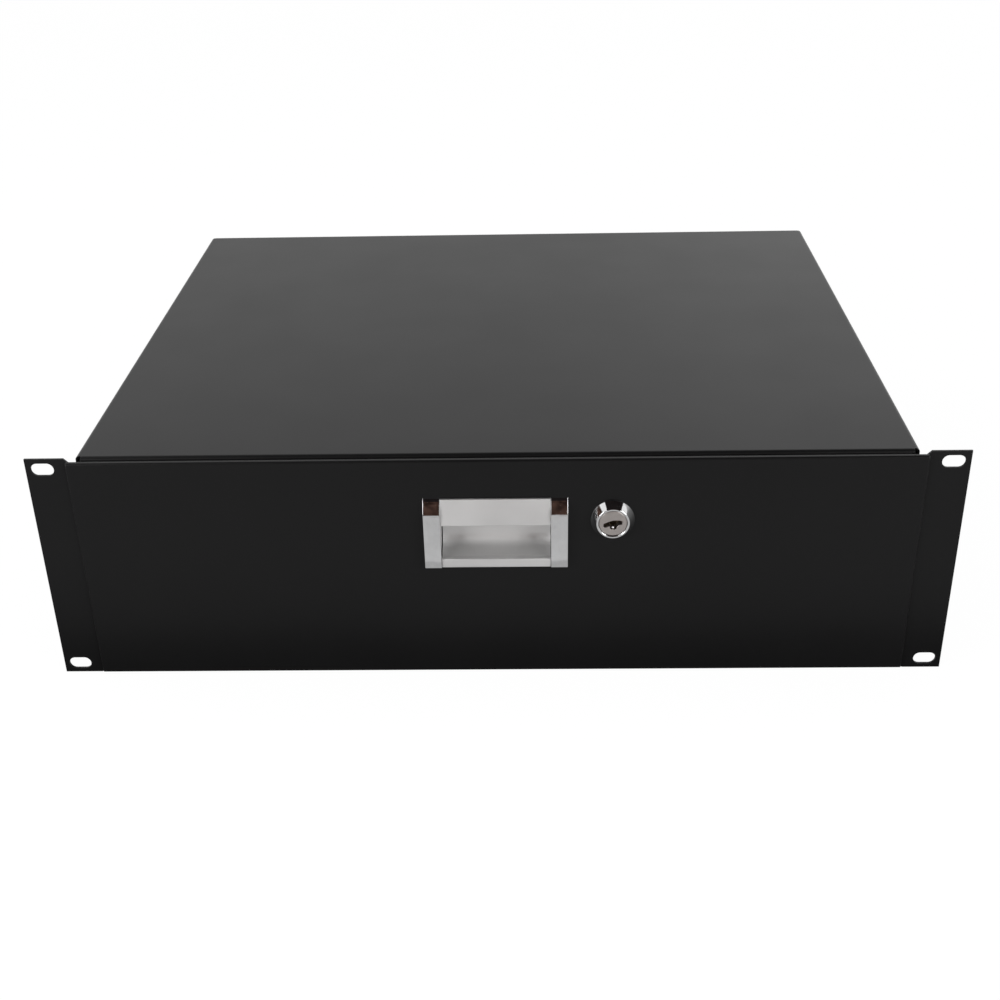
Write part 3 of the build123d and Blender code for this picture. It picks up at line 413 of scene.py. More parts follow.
@dataclass
class Shell:
    """Grids and end faces gathered for one piece, in millimetres."""

    name: str
    slot: Slot
    body: str
    points: list[np.ndarray] = field(default_factory=list)
    quads: list[np.ndarray] = field(default_factory=list)
    caps: list[list[int]] = field(default_factory=list)
    count: int = 0

    def grid(self, surface: np.ndarray, wrap_u: bool = False, wrap_v: bool = False) -> None:
        """Add a surface given as a grid of points.

        Args:
            surface: points of shape (rows, columns, 3).
            wrap_u: whether the last row joins the first.
            wrap_v: whether the last column joins the first.
        """
        rows, columns = surface.shape[:2]
        index = np.arange(rows * columns).reshape(rows, columns) + self.count
        if wrap_u:
            index = np.vstack([index, index[:1]])
        if wrap_v:
            index = np.hstack([index, index[:, :1]])
        quads = np.stack([index[:-1, :-1], index[1:, :-1], index[1:, 1:], index[:-1, 1:]], -1)
        self.points.append(surface.reshape(-1, 3))
        self.quads.append(quads.reshape(-1, 4))
        self.count += rows * columns

    def cap(self, rim: np.ndarray) -> None:
        """Add one flat face.

        Args:
            rim: points of its rim, of shape (n, 3).
        """
        self.points.append(rim)
        self.caps.append(list(range(self.count, self.count + len(rim))))
        self.count += len(rim)

    def make(self, sharp: float = 35.0) -> bpy.types.Object:
        """Merge the grids into one closed mesh that rides on the shell's body.

        Args:
            sharp: angle in degrees past which an edge is sharp.

        Returns:
            The finished object, with its material.
        """
        vertices = np.concatenate(self.points) * MM
        faces = np.concatenate(self.quads).tolist() + self.caps
        mesh = bpy.data.meshes.new(self.name)
        mesh.from_pydata(vertices.tolist(), [], faces)
        work = bmesh.new()
        work.from_mesh(mesh)
        bmesh.ops.remove_doubles(work, verts=work.verts, dist=MERGE_GAP * MM)
        bmesh.ops.dissolve_degenerate(work, edges=work.edges, dist=SLIVER * MM)
        bmesh.ops.recalc_face_normals(work, faces=work.faces)
        work.to_mesh(mesh)
        work.free()
        mesh.polygons.foreach_set("use_smooth", np.ones(len(mesh.polygons), bool))
        mesh.set_sharp_from_angle(angle=math.radians(sharp))
        mesh.materials.append(MATERIALS[self.slot.value])
        piece = bpy.data.objects.new(self.name, mesh)
        bpy.context.scene.collection.objects.link(piece)
        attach(piece, self.body)
        LOG.info("piece %s: %d faces on body %s", self.name, len(mesh.polygons), self.body)
        return piece


def bar_along_x(shell: Shell, outline: np.ndarray, ends: Point2, rounding: Point2, steps: int) -> None:
    """Add a bar with a constant section along X, its end edges rounded.

    Towards each end the section shrinks by the radius times one minus the cosine of a quarter
    turn while it moves out by the radius times the sine, so the edge is a quarter circle.

    Args:
        shell: shell that takes the surfaces.
        outline: closed section, as (y, z) points.
        ends: lowest and highest x.
        rounding: radius of the edges at the low end and at the high end.
        steps: rows in each rounded edge.
    """
    turn = np.linspace(0, math.pi / 2, steps + 1)
    low, high = rounding
    insets = np.concatenate([low * (1 - np.cos(turn))[::-1], high * (1 - np.cos(turn))])
    places = np.concatenate([ends[0] + low * (1 - np.sin(turn))[::-1], ends[1] - high * (1 - np.sin(turn))])
    rows = [
        np.column_stack([np.full(len(outline), x), inset_outline(outline, depth)])
        for x, depth in zip(places, insets)
    ]
    surface = np.stack(rows)
    shell.grid(surface, wrap_v=True)
    shell.cap(surface[0])
    shell.cap(surface[-1])


def about_y(centre: Point3, radius: np.ndarray, depth: np.ndarray, turn: np.ndarray) -> np.ndarray:
    """Turn rows of radii about an axis along Y: x is the radius times the cosine, z times the sine."""
    level = centre[1] + depth + 0 * turn
    return np.stack([centre[0] + radius * np.cos(turn), level, centre[2] + radius * np.sin(turn)], -1)


@dataclass
class PullHandle:
    """Recessed pull: an extruded profile between two plated end caps.

    The lean and the curl are in degrees. The web closes the recess's end behind each cap.
    """

    face: float = SHEET_FRONT
    stand: float = 4.0
    bottom: float = 3.1
    height: float = 39.7
    half: float = 37.5
    cap_width: float = 8.8
    wall: float = 1.3
    flange: float = 3.4
    upper_flange: float = 2.1
    recess: float = 12.0
    hood: float = 14.7
    hood_back: float = 0.5
    lip: float = 5.2
    lip_back: float = 0.9
    scoop: float = 3.6
    flat: float = 31.9
    web: float = 2.4
    joint: float = 0.18
    lean: float = 21.0
    curl: float = 15.0
    gap: float = 0.05
    profile_round: float = 0.12
    inner_round: float = 0.1
    outer_round: float = 0.28
    web_round: float = 0.15

    @property
    def top(self) -> float:
        """Height of the pull's upper edge."""
        return self.bottom + self.height

    def section(self) -> np.ndarray:
        """Outline of the profile: a sloping hood, a scooped recess and a lower lip, all one wall thick.

        Returns:
            Its (y, z) points.
        """
        front, wall, back = self.face - self.stand, self.wall, self.face + self.recess
        hood_front, lip_front = front + self.hood_back, front + self.lip_back
        ceiling = self.top - self.upper_flange - self.gap
        lip_top = self.bottom + self.lip
        hood_low = self.top - self.hood
        points = [
            (self.face, self.top), (self.face - wall, self.top), (hood_front, hood_low),
            (hood_front + wall, hood_low), (self.face, ceiling - wall), (back - wall, ceiling - wall),
            (back - wall, lip_top + self.scoop), (self.face + 0.3, lip_top), (lip_front, lip_top),
            (lip_front, self.bottom), (self.face, self.bottom), (self.face, lip_top - wall),
            (back, lip_top + self.scoop - 1.2), (back, ceiling), (self.face, ceiling),
        ]
        radii = [0.15, 0.5, 0.6, 0.5, 0.4, 5.3, 9.0, 1.2, 0.7, 0.5, 0.15, 0.4, 10.0, 6.0, 0.3]
        return rounded_outline(points, radii, 8)

    def cap_section(self) -> np.ndarray:
        """Outline of an end cap: a flat front, a crease, and a shoulder that leans back to the face.

        The shoulder's slope is the lean plus the curl times the squared share of its length. Its
        points are running sums of the slope's sine and cosine, stretched to the stand and the height.

        Returns:
            Its (y, z) points.
        """
        front, flat_top = self.face - self.stand, self.bottom + self.flat
        slope = np.radians(self.lean + self.curl * np.linspace(0, 1, 24) ** 2)
        run = np.cumsum(np.stack([np.sin(slope), np.cos(slope)], 1), axis=0)
        run = (run - run[0]) / (run[-1] - run[0])
        shoulder = np.array([front, flat_top]) + run * np.array([self.stand, self.top - flat_top])
        foot = rounded_outline(
            [(self.face, flat_top), (self.face, self.bottom), (front, self.bottom), (front, flat_top)],
            [0.0, 0.0, 0.5, 0.0], 4,
        )
        return np.concatenate([foot[1:-1], shoulder])

    def web_section(self) -> np.ndarray:
        """Outline of the web that closes the recess's end.

        Returns:
            Its (y, z) points.
        """
        low, high = self.bottom + self.flange + self.gap, self.top - self.upper_flange - self.gap
        back = self.face + self.recess
        points = [(self.face - 0.2, low), (back, low), (back, high), (self.face - 0.2, high)]
        return rounded_outline(points, [0, 6, 6, 0], 8)

    def build(self) -> None:
        """Make the profile and both caps."""
        inner = self.half - self.cap_width
        profile = Shell("pull_profile", Slot.ALUMINIUM, "drawer")
        end = inner - self.joint
        bar_along_x(profile, self.section(), (-end, end), (self.profile_round, self.profile_round), 3)
        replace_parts(profile.make(), "handle_profile")
        for side, sign in (("left", -1), ("right", 1)):
            cap = Shell(f"pull_cap_{side}", Slot.CHROME, "drawer")
            cap_ends = tuple(sorted((sign * inner, sign * self.half)))
            web_ends = tuple(sorted((sign * inner, sign * (inner + self.web))))
            rounding = (self.inner_round, self.outer_round)[::sign]
            bar_along_x(cap, self.cap_section(), cap_ends, rounding, 6)
            bar_along_x(cap, self.web_section(), web_ends, (self.web_round, self.web_round), 3)
            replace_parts(cap.make(), f"handle_cap_{side}")


@dataclass
class CamLock:
    """Cam lock: conical bezel with a threaded barrel, and a plug with its keyway.

    Depths are measured from the drawer's face, or from the plug's front for the key and shoulder.
    """

    x: float = LOCK_X
    z: float = LOCK_Z
    face: float = SHEET_FRONT
    base: float = 22.8
    foot: float = 0.7
    rim: float = 17.4
    rim_edge: float = 0.2
    bore_edge: float = 0.35
    height: float = 5.0
    barrel: float = 18.6
    flats: float = 16.4
    length: float = 16.0
    plug: float = 14.5
    plug_body: float = 12.6
    plug_round: float = 0.45
    shoulder: float = 3.5
    fit: float = 0.08
    seat_gap: float = 0.05
    recess: float = 0.5
    key_depth: float = 15.0
    key_edge: float = 0.35
    key_flare: float = 0.048
    key_taper: float = 0.96
    tail: float = 3.5
    tail_length: float = 2.25
    pin: float = 0.8
    pin_length: float = 2.4
    pin_foot: float = 3.45
    pin_recess: float = 0.2
    thread_pitch: float = 1.0
    thread_depth: float = 0.45
    thread_start: float = 1.2
    thread_fade: float = 0.8
    thread_rows: int = 98
    key_points: int = 144
    segments: int = 160

    @property
    def centre(self) -> Point3:
        """Point where the lock's axis meets the drawer's face."""
        return (self.x, self.face, self.z)

    @property
    def front(self) -> float:
        """Depth of the plug's front."""
        return self.recess - self.height

    @property
    def step(self) -> float:
        """Depth of the step in the bore that the plug's shoulder rests on."""
        return self.front + self.shoulder + self.seat_gap

    def ring(self, flat: np.ndarray, depth: float) -> np.ndarray:
        """Place (x, z) points about the lock's axis, at a depth behind the drawer's face."""
        level = np.full(len(flat), self.face + depth)
        return np.column_stack([self.x + flat[:, 0], level, self.z + flat[:, 1]])

    def bezel_profile(self) -> np.ndarray:
        """Half section of the bezel from its bore to the back, with rounded rim and foot.

        Returns:
            Its points, as (radius, depth).
        """
        bore, top = self.plug / 2 + self.fit, -self.height
        points = [
            (bore, self.step), (bore, top + self.bore_edge), (bore + self.bore_edge, top),
            (self.rim / 2 - self.rim_edge, top), (self.base / 2, -self.foot), (self.base / 2, 0.0),
            (self.barrel / 2, 0.0),
        ]
        return rounded_outline(points, [0, 0.2, 0.25, 0.45, 0.35, 0, 0], 6)

    def housing(self) -> None:
        """Make the bezel and the barrel.

        The barrel's radius falls and rises with a triangle wave of the depth less the thread's lead
        times the angle's share of a turn, and its x is clipped to the two flats.
        """
        shell = Shell("lock_bezel", Slot.CHROME, "drawer")
        angle = np.linspace(0, 2 * math.pi, self.segments, endpoint=False)
        depth = np.linspace(0, self.length, self.thread_rows)[:, None]
        phase = (depth / self.thread_pitch - angle / (2 * math.pi)) % 1.0
        ends = np.clip(np.minimum(depth - self.thread_start, self.length - depth) / self.thread_fade, 0, 1)
        radius = self.barrel / 2 - self.thread_depth * (1 - np.abs(2 * phase - 1)) * ends
        barrel = about_y(self.centre, radius, depth, angle)
        barrel[..., 0] = np.clip(barrel[..., 0], self.x - self.flats / 2, self.x + self.flats / 2)
        narrow = self.plug_body / 2 + self.fit
        profile, bore = self.bezel_profile(), np.array([[self.length], [self.step]])
        bezel = about_y(self.centre, profile[:, :1], profile[:, 1:], angle)
        surface = np.concatenate([bezel, barrel, about_y(self.centre, narrow + 0 * bore, bore, angle)])
        shell.grid(surface, wrap_u=True, wrap_v=True)
        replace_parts(shell.make(30), "lock_housing")

    def key_outline(self) -> np.ndarray:
        """Outline of the keyway, evenly spaced along its length from its right end.

        A thick bar runs down to the left, and a short lobe hangs under its middle.

        Returns:
            Its (x, z) points, measured from the lock's axis.
        """
        points = [
            (4.7, -0.7), (4.7, 1.3), (3.2, 1.7), (0.0, 1.7), (-1.8, 1.1), (-4.8, -0.2), (-4.8, -2.3),
            (-3.4, -2.3), (-1.6, -1.4), (-1.3, -3.4), (1.5, -3.5), (2.1, -1.9), (3.0, -0.9),
        ]
        outline = rounded_outline(points, [0.35] * len(points), 4)
        closed = np.vstack([outline, outline[:1]])
        length = np.concatenate([[0.0], np.cumsum(np.linalg.norm(np.diff(closed, axis=0), axis=1))])
        even = np.linspace(0, length[-1], self.key_points, endpoint=False)
        return np.column_stack([np.interp(even, length, closed[:, axis]) for axis in (0, 1)])

    def plug_piece(self) -> None:
        """Make the plug: rings from the keyway's outline to the rim, its side, and the keyway's walls.

        Each ring blends the keyway's outline into a circle: a point is the outline's point times one
        minus the share, plus the circle's point at the same share of its length times the share.
        """
        shell = Shell("lock_plug_face", Slot.NICKEL, "lock_cylinder")
        key = self.key_outline()
        angle = np.linspace(0, 2 * math.pi, len(key), endpoint=False)
        circle = np.column_stack([np.cos(angle), np.sin(angle)])
        front, edge, lip = self.front, self.key_edge, self.plug_round
        rim, body = self.plug / 2, self.plug_body / 2
        rows = [self.ring(key * self.key_taper, front + self.key_depth), self.ring(key, front + edge)]
        for share in np.linspace(0.25, 1.0, 4):
            depth = front + edge - edge * math.sin(share * math.pi / 2)
            rows.append(self.ring(key * (1 + self.key_flare * share), depth))
        flared = key * (1 + self.key_flare)
        outer = circle * (rim - lip)
        rows += [self.ring(flared * (1 - share) + outer * share, front) for share in (0.15, 0.35, 0.6, 0.8)]
        rows.append(self.ring(outer, front))
        for turn in np.linspace(0.3, math.pi / 2, 5):
            rounded = circle * (rim - lip + lip * math.sin(turn))
            rows.append(self.ring(rounded, front + lip * (1 - math.cos(turn))))
        rows += [
            self.ring(circle * rim, front + self.shoulder - 0.1),
            self.ring(circle * body, front + self.shoulder),
            self.ring(circle * body, self.length + 0.15),
        ]
        surface = np.stack(rows)
        shell.grid(surface, wrap_v=True)
        shell.cap(surface[0])
        shell.cap(surface[-1])
        low, high = -self.tail, self.tail
        square = rounded_outline([(low, low), (high, low), (high, high), (low, high)], [0.4] * 4, 3)
        ends = np.stack([self.ring(square, self.length + extra) for extra in (0.0, self.tail_length)])
        shell.grid(ends, wrap_v=True)
        shell.cap(ends[-1])
        shell.cap(ends[0])
        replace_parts(shell.make(30), "lock_plug")

    def ward_pin(self) -> None:
        """Make the polished pin in the keyway's lobe: a round bar whose front is half a sphere."""
        shell = Shell("lock_ward_pin", Slot.CHROME, "lock_cylinder")
        tilt = np.linspace(0, math.pi / 2, 9)
        radius = np.append(self.pin * np.sin(tilt), [self.pin, 0.0])[:, None]
        depth = np.append(self.pin * (1 - np.cos(tilt)), [self.pin_length, self.pin_length])[:, None]
        centre = (self.x, self.face + self.front + self.pin_recess, self.z + self.pin - self.pin_foot)
        turn = np.linspace(0, 2 * math.pi, 32, endpoint=False)
        shell.grid(about_y(centre, radius, depth, turn), wrap_v=True)
        shell.make()

    def build(self) -> None:
        """Make the housing, the plug and the pin in its keyway."""
        self.housing()
        self.plug_piece()
        self.ward_pin()


@dataclass
class BallSet:
    """Bearing balls of one cage, each a smooth sphere at the place of its solid."""

    node: str
    body: str
    radius: float = 2.0
    rings: int = 13
    segments: int = 24

    def build(self) -> None:
        """Make the balls.

        With a tilt from the pole and a turn about it, x is the radius times the tilt's sine and the
        turn's cosine, y the same with the turn's sine, and z the radius times the tilt's cosine.
        """
        shell = Shell(f"{self.node}_round", Slot.BALL_STEEL, self.body)
        tilt = np.linspace(0, math.pi, self.rings)[:, None]
        turn = np.linspace(0, 2 * math.pi, self.segments, endpoint=False)
        level = np.cos(tilt) + 0 * turn
        ball = self.radius * np.stack([np.sin(tilt) * np.cos(turn), np.sin(tilt) * np.sin(turn), level], -1)
        for low, high in solid_boxes(self.node):
            shell.grid(ball + (low + high) / 2, wrap_v=True)
        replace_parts(shell.make(), self.node)


def solid_boxes(node: str) -> list[tuple[np.ndarray, np.ndarray]]:
    """Find the box of each solid in a node.

    Points that share a place are one. Each starts with its own label, and every edge gives the lower
    label to both of its ends, until nothing changes. The points of one label are one solid.

    Args:
        node: name of a node made of separate solids.

    Returns:
        Lowest and highest corners in millimetres, one pair for each solid.
    """
    mesh = frame["nodes"][node].data
    places = np.empty(3 * len(mesh.vertices), np.float32)
    mesh.vertices.foreach_get("co", places)
    places = places.reshape(-1, 3).astype(float) / MM
    edges = np.empty(2 * len(mesh.edges), np.int32)
    mesh.edges.foreach_get("vertices", edges)
    joined = np.unique(np.round(places / SLIVER), axis=0, return_inverse=True)[1].reshape(-1)
    ends = joined[edges].reshape(-1, 2)
    labels, before = np.arange(joined.max() + 1), None
    while not np.array_equal(labels, before):
        before = labels.copy()
        lowest = labels[ends].min(1)
        np.minimum.at(labels, ends[:, 0], lowest)
        np.minimum.at(labels, ends[:, 1], lowest)
        labels = labels[labels]
    found, solid = np.unique(labels[joined], return_inverse=True)
    low, high = np.full((len(found), 3), np.inf), np.full((len(found), 3), -np.inf)
    np.minimum.at(low, solid, places)
    np.maximum.at(high, solid, places)
    return list(zip(low, high))


@dataclass
class FastenerSet:
    """Screws or rivets of one node, each at the place of its solid.

    The cross's arm, reach, edge and sink are shares of the head's radius. Where no facing is given,
    heads face sideways past the side place and backwards elsewhere.
    """

    node: str
    body: str
    radius: float
    shank: float
    height: float = 2.0
    facing: tuple[int, int, int] = (0, 0, 0)
    slot: Slot = Slot.ZINC
    head: Head = Head.PAN
    segments: int = 72
    pan_fall: float = 0.75
    pan_power: int = 5
    dome_power: float = 2.4
    arm: float = 0.11
    reach: float = 0.55
    edge: float = 0.05
    sink: float = 0.55
    rise: float = 0.4
    tip: float = 0.4
    side_place: float = 200.0

    def surface(self, grip: float) -> np.ndarray:
        """Work out one fastener with its head towards local z.

        A countersunk head is flat. The height of a pan head and a dome falls by a power of the share
        of the radius, a pan head's by a part of its height and a dome's by all of it. A cross of two
        arms is sunk into the screws, less deep towards its ends.

        Args:
            grip: depth of the shank's end below the head's seat.

        Returns:
            Grid of shape (rows, columns, 3) from the head's middle out and down to the tip.
        """
        share = np.concatenate([np.linspace(0.0, 0.62, 18), np.linspace(0.68, 1.0, 9)])[:, None]
        turn = np.linspace(0, 2 * math.pi, self.segments, endpoint=False)
        x, y = self.radius * share * np.cos(turn), self.radius * share * np.sin(turn)
        if self.head is Head.PAN:
            z = self.height * (1 - self.pan_fall * share**self.pan_power) + 0 * turn
        elif self.head is Head.DOME:
            z = self.height * (1 - share**self.dome_power) + 0 * turn
        else:
            z = 0 * share + 0 * turn
        if self.head is not Head.DOME:
            arm, reach, soft = self.arm * self.radius, self.reach * self.radius, self.edge * self.radius
            across = np.clip((arm - np.abs(y)) / soft, 0, 1) * np.clip((reach - np.abs(x)) / soft, 0, 1)
            along = np.clip((arm - np.abs(x)) / soft, 0, 1) * np.clip((reach - np.abs(y)) / soft, 0, 1)
            z = z - self.sink * self.radius * np.maximum(across, along) * (1 - self.rise * share)
        rows = [np.stack([x, y, z], -1)]
        if self.head is Head.COUNTERSUNK:
            under = [(self.shank, self.shank - self.radius)]
        else:
            under = [(self.radius, 0.0), (self.shank, 0.0)]
        under += [(self.shank, self.tip - grip), (self.shank - self.tip, -grip), (0.0, -grip)]
        for reach, depth in under:
            rows.append(np.stack([reach * np.cos(turn), reach * np.sin(turn), depth + 0 * turn], -1)[None])
        return np.concatenate(rows)

    def build(self) -> None:
        """Make each fastener where its solid lies, head outwards."""
        shell = Shell(f"{self.node}_dressed", self.slot, self.body)
        for low, high in solid_boxes(self.node):
            middle = (low + high) / 2
            if any(self.facing):
                outward = np.array(self.facing, float)
            elif abs(middle[0]) > self.side_place:
                outward = np.array([math.copysign(1.0, middle[0]), 0.0, 0.0])
            else:
                outward = np.array([0.0, 1.0, 0.0])
            axis = int(np.argmax(np.abs(outward)))
            length = high[axis] - low[axis]
            seat = middle.copy()
            top = high[axis] if outward[axis] > 0 else low[axis]
            raised = 0.0 if self.head is Head.COUNTERSUNK else self.height
            seat[axis] = top - outward[axis] * raised
            across = np.array([0.0, 0.0, 1.0])
            basis = np.stack([across, np.cross(outward, across), outward])
            shell.grid(self.surface(length - raised) @ basis + seat, wrap_v=True)
        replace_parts(shell.make(30), self.node)


@dataclass
class HexNutSet:
    """Chamfered hexagon nuts of one node, each at the place of its solid, with its axis along Y.

    The flat side is the angle of a flat's middle and the cone that of the chamfer, both in degrees.
    """

    node: str
    flats: float
    bore: float
    chamfer: float = 0.35
    flat_side: float = 30.0
    cone: float = 30.0
    margin: float = 0.05
    segments: int = 96

    def build(self) -> None:
        """Make each nut.

        The hexagon's radius is half the flats over the cosine of the angle from the nearest flat's
        middle. Both faces are cut back by a cone: a point lies in from the face by the slope times
        how far its radius passes that of the circle inside the flats.
        """
        shell = Shell(f"{self.node}_chamfered", Slot.ZINC, "drawer")
        turn = np.linspace(0, 2 * math.pi, self.segments, endpoint=False)
        sixth = math.pi / 3
        off = (turn - math.radians(self.flat_side) + sixth / 2) % sixth - sixth / 2
        hexagon = self.flats / 2 / np.cos(off)
        inner = self.bore / 2 + 0 * turn
        outer = inner + self.chamfer
        seat = np.minimum(hexagon, self.flats / 2 - self.margin)
        fall = (hexagon - seat) * math.tan(math.radians(self.cone))
        for low, high in solid_boxes(self.node):
            middle = (low + high) / 2
            half = (high[1] - low[1]) / 2
            rows = [
                (inner, half - self.chamfer), (outer, half), (seat, half), (hexagon, half - fall),
                (hexagon, fall - half), (seat, -half), (outer, -half), (inner, self.chamfer - half),
            ]
            ring = np.stack([row[0] for row in rows])
            depth = np.stack([row[1] + 0 * turn for row in rows])
            shell.grid(about_y(middle, ring, depth, turn), wrap_u=True, wrap_v=True)
        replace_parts(shell.make(25), self.node)


@dataclass
class StudSet:
    """Threaded studs welded to the back of the drawer's face."""

    node: str = "face_studs"
    radius: float = 1.5
    flange: float = 3.0
    flange_depth: float = 1.1
    pitch: float = 0.5
    depth: float = 0.26
    fade: float = 0.3
    rows: int = 64
    segments: int = 48

    def build(self) -> None:
        """Make each stud: its radius falls by the depth times a triangle wave that climbs once a turn."""
        shell = Shell("face_studs_threaded", Slot.ZINC, "drawer")
        turn = np.linspace(0, 2 * math.pi, self.segments, endpoint=False)
        for low, high in solid_boxes(self.node):
            length = high[1] - low[1]
            start = self.flange_depth
            along = np.linspace(start, length, self.rows)[:, None]
            phase = ((along - start) / self.pitch - turn / (2 * math.pi)) % 1.0
            ends = np.clip(np.minimum(along - start, length - along) / self.fade, 0, 1)
            tip = self.fade * (1 - np.clip((length - along) / self.fade, 0, 1))
            thread = self.radius - self.depth * (1 - np.abs(2 * phase - 1)) * ends - tip
            flange = np.array([0.0, self.flange, self.flange])[:, None] + 0 * turn
            ring = np.concatenate([flange, thread, 0 * turn[None]])
            depth = np.concatenate([[[0.0], [0.0], [start]], along, [[length]]])
            foot = ((low[0] + high[0]) / 2, low[1], (low[2] + high[2]) / 2)
            shell.grid(about_y(foot, ring, depth, turn), wrap_v=True)
        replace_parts(shell.make(40), self.node)


@dataclass(frozen=True)
class Lamp:
    """Square soft lamp, with the length of its side in metres and its power in watts."""

    name: str
    place: Point3
    aim: Point3
    size: float
    power: float


@dataclass(frozen=True)
class Card:
    """Glowing card that only mirrors see, given by two opposite corners in metres.

    It is level where both have one height, and upright otherwise. Its light varies by the spread.
    """

    name: str
    first: Point3
    last: Point3
    colour: Colour
    spread: float

    @property
    def corners(self) -> list[Point3]:
        """Work out the four corners.

        Returns:
            The corners, in order round the card.
        """
        (left, near, low), (right, far, high) = self.first, self.last
        if low == high:
            return [(left, near, low), (right, near, low), (right, far, low), (left, far, low)]
        return [(left, near, low), (right, far, low), (right, far, high), (left, near, high)]


BROWN = (0.06, 0.034, 0.026)
LAMPS = (
    Lamp("lamp_left", (-1.3, -1.1, 0.6), (0.0, 0.0, 0.0), 0.8, 12.0),
    Lamp("lamp_right", (1.3, -1.1, 0.6), (0.0, 0.0, 0.0), 0.8, 12.0),
    Lamp("lamp_streak", (-1.1, 0.22, 1.24), (0.06, 0.0, 0.03), 0.4, 3.0),
)
CARDS = (
    Card("card_near", (-1.2, -2.2, CARD_FOOT), (1.2, -0.1, CARD_FOOT), (0.575, 0.575, 0.575), 0.08),
    # Painted shadow: the darker foot and edge cards paint the drawer's contact shadow into the floor as
    # mirrors see it.
    Card("card_foot_shadow", (-1.2, -0.1, CARD_FOOT), (1.2, -0.045, CARD_FOOT), (0.44, 0.44, 0.44), 0.08),
    Card("card_edge_shadow", (-1.2, -0.045, CARD_FOOT), (1.2, -0.001, CARD_FOOT), (0.13, 0.13, 0.13), 0.08),
    Card("card_back", (0.35, 3.0, CARD_FOOT), (3.5, 2.0, 2.2), (1.22, 1.22, 1.22), 0.02),
    Card("card_front", (-0.6, -0.8, CARD_FOOT), (0.6, -0.8, 0.62), BROWN, 0.8),
    Card("card_top", (-0.85, -2.2, 1.6), (1.6, 0.75, 1.6), (0.012, 0.01, 0.01), 0.3),
    Card("card_left", (-1.7, -0.6, CARD_FOOT), (-1.7, 1.2, 1.3), BROWN, 0.6),
    Card("card_right", (1.7, -0.6, CARD_FOOT), (1.7, 1.2, 0.5), (0.3, 0.3, 0.3), 0.6),
)


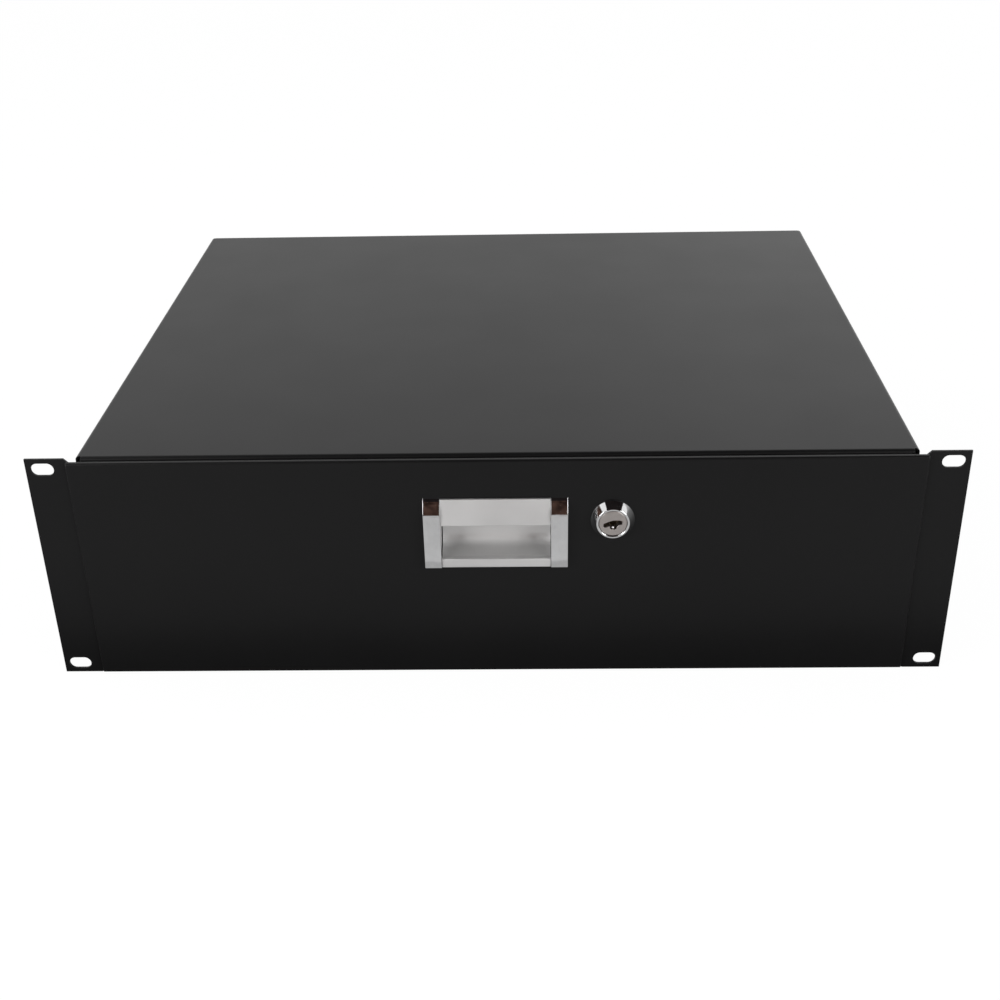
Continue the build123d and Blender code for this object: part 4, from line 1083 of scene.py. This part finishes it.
@dataclass
class Studio:
    """Pale floor, white surroundings, soft lamps, cards that only mirrors see, and the camera.

    Angles are in degrees, the lens and its sensor in millimetres, and the rest in metres.
    """

    camera_place: Point3 = (0.0208, -0.6344, 0.3867)
    lens: float = 50.31
    sensor: float = 36.0
    clip_start: float = 0.01
    yaw: float = -1.66
    pitch: float = 28.67
    roll: float = -1.29
    light: Colour = (0.55, 0.55, 0.56)
    floor_half: float = 6.0
    floor_colour: Colour = (0.9, 0.9, 0.9)
    floor_roughness: float = 0.9
    glow: float = 1.025
    glow_share: float = 0.94
    cloud_size: float = 0.2
    cloud_range: Point2 = (0.35, 0.65)
    cloud_detail: float = 3.0

    def camera(self) -> None:
        """Place the camera that was fitted to the photograph's corners."""
        yaw, pitch, roll = (math.radians(value) for value in (self.yaw, self.pitch, self.roll))
        ahead = Vector((math.sin(yaw) * math.cos(pitch), math.cos(yaw) * math.cos(pitch), -math.sin(pitch)))
        level = Vector((math.cos(yaw), -math.sin(yaw), 0.0))
        upright = level.cross(ahead)
        right = math.cos(roll) * level + math.sin(roll) * upright
        up = -math.sin(roll) * level + math.cos(roll) * upright
        data = bpy.data.cameras.new("camera")
        data.lens = self.lens
        data.sensor_width = self.sensor
        data.clip_start = self.clip_start
        place = bpy.data.objects.new("camera", data)
        turn = Matrix((right, up, -ahead)).transposed().to_4x4()
        place.matrix_world = Matrix.Translation(self.camera_place) @ turn
        bpy.context.scene.collection.objects.link(place)
        bpy.context.scene.camera = place

    def seen_factor(self, tree: Tree) -> Socket:
        """Give 1 for rays that come from the camera, a mirror or glass, and 0 for the others.

        Args:
            tree: node tree to add to.

        Returns:
            Socket of the factor.
        """
        path = tree.nodes.new("ShaderNodeLightPath")
        value = path.outputs["Is Camera Ray"]
        for name in ("Is Glossy Ray", "Is Transmission Ray"):
            value = operate(tree, "Math", "MAXIMUM", value, path.outputs[name]).outputs[0]
        return value

    def world(self) -> None:
        """White where it is seen or mirrored, and a plain grey as a source of light."""
        world = bpy.data.worlds.new("studio")
        world.use_nodes = True
        bpy.context.scene.world = world
        tree = world.node_tree
        colour = mix_colours(tree, self.seen_factor(tree), self.light, (1.0, 1.0, 1.0))
        tree.links.new(colour, tree.nodes["Background"].inputs["Color"])

    def floor(self) -> None:
        """Wide pale floor that shows nearly white and keeps a faint shadow."""
        half, z = self.floor_half, FLOOR_HEIGHT
        mesh = bpy.data.meshes.new("floor")
        corners = [(-half, -half, z), (half, -half, z), (half, half, z), (-half, half, z)]
        mesh.from_pydata(corners, [], [(0, 1, 2, 3)])
        material = bpy.data.materials.new("floor_white")
        material.use_nodes = True
        tree = material.node_tree
        shader = tree.nodes["Principled BSDF"]
        shader.inputs["Base Color"].default_value = (*self.floor_colour, 1.0)
        shader.inputs["Roughness"].default_value = self.floor_roughness
        glow = tree.nodes.new("ShaderNodeEmission")
        glow.inputs["Strength"].default_value = self.glow
        share = operate(tree, "Math", "MULTIPLY", self.seen_factor(tree), self.glow_share)
        mix = tree.nodes.new("ShaderNodeMixShader")
        tree.links.new(share.outputs[0], mix.inputs["Fac"])
        tree.links.new(shader.outputs["BSDF"], mix.inputs[1])
        tree.links.new(glow.outputs["Emission"], mix.inputs[2])
        tree.links.new(mix.outputs["Shader"], tree.nodes["Material Output"].inputs["Surface"])
        mesh.materials.append(material)
        floor = bpy.data.objects.new("floor", mesh)
        bpy.context.scene.collection.objects.link(floor)

    def lamp(self, plan: Lamp) -> None:
        """Add a lamp that faces its aim.

        Args:
            plan: the lamp's name, place, aim, size and power.
        """
        data = bpy.data.lights.new(plan.name, "AREA")
        data.shape = "SQUARE"
        data.size = plan.size
        data.energy = plan.power
        lamp = bpy.data.objects.new(plan.name, data)
        turn = (Vector(plan.aim) - Vector(plan.place)).to_track_quat("-Z", "Y")
        lamp.matrix_world = Matrix.Translation(plan.place) @ turn.to_matrix().to_4x4()
        bpy.context.scene.collection.objects.link(lamp)

    def card(self, plan: Card) -> None:
        """Hang a card whose light varies in soft clouds.

        Args:
            plan: the card's name, corners, colour and spread.
        """
        mesh = bpy.data.meshes.new(plan.name)
        mesh.from_pydata(plan.corners, [], [(0, 1, 2, 3)])
        material = bpy.data.materials.new(plan.name)
        material.use_nodes = True
        tree = material.node_tree
        glow = tree.nodes.new("ShaderNodeEmission")
        glow.inputs["Color"].default_value = (*plan.colour, 1.0)
        place = tree.nodes.new("ShaderNodeTexCoord").outputs["Object"]
        cloud = soft_noise(tree, place, self.cloud_size, Grain.EVEN.value, self.cloud_detail)
        strength = map_range(tree, cloud, self.cloud_range, (1.0 - plan.spread, 1.0 + plan.spread))
        tree.links.new(strength, glow.inputs["Strength"])
        tree.links.new(glow.outputs["Emission"], tree.nodes["Material Output"].inputs["Surface"])
        mesh.materials.append(material)
        card = bpy.data.objects.new(plan.name, mesh)
        card.visible_camera = False
        card.visible_diffuse = False
        card.visible_shadow = False
        bpy.context.scene.collection.objects.link(card)

    def build(self) -> None:
        """Set up the whole studio."""
        self.camera()
        self.world()
        self.floor()
        for plan in LAMPS:
            self.lamp(plan)
        for plan in CARDS:
            self.card(plan)
        bpy.context.scene.view_settings.view_transform = "Standard"


def dress_nodes() -> None:
    """Give every carried-over node the finish of its record slot."""
    for part in frame["record"]["subparts"]:
        node = frame["nodes"][part["node"]]
        node.data.materials.clear()
        node.data.materials.append(MATERIALS[part["material_slot"]])


def main() -> None:
    """Make the finishes, the studio and each sub-assembly in order."""
    logging.basicConfig(level=logging.INFO, format="%(name)s: %(message)s")
    for finish in FINISHES:
        MATERIALS[finish.slot.value] = finish.material()
    Studio().build()
    dress_nodes()
    PullHandle().build()
    CamLock().build()
    for row, body in (("outer", "outer_retainer"), ("inner", "inner_retainer")):
        for side in ("left", "right"):
            BallSet(f"{row}_balls_{side}", f"{body}_{side}").build()
    FastenerSet(
        "cover_screws", "case", radius=2.75, shank=1.5, slot=Slot.OXIDE, head=Head.COUNTERSUNK
    ).build()
    FastenerSet(
        "case_rivets", "case", radius=3.0, shank=1.6, height=0.8, slot=Slot.OXIDE, head=Head.DOME
    ).build()
    FastenerSet("handle_screws", "drawer", radius=2.75, shank=1.5, facing=(0, 1, 0)).build()
    FastenerSet("cam_screw", "lock_cylinder", radius=4.9, shank=2.0, facing=(0, 1, 0)).build()
    for side, sign in (("left", -1), ("right", 1)):
        for rail, body, way in (("outer", "case", sign), ("inner", "drawer", -sign)):
            node = f"{rail}_rail_screws_{side}"
            FastenerSet(node, body, radius=3.8, shank=2.0, facing=(way, 0, 0)).build()
    HexNutSet("face_nuts", flats=5.5, bore=3.1).build()
    HexNutSet("lock_nut", flats=24.0, bore=18.7, chamfer=0.5).build()
    StudSet().build()


if __name__ == "__main__":
    main()
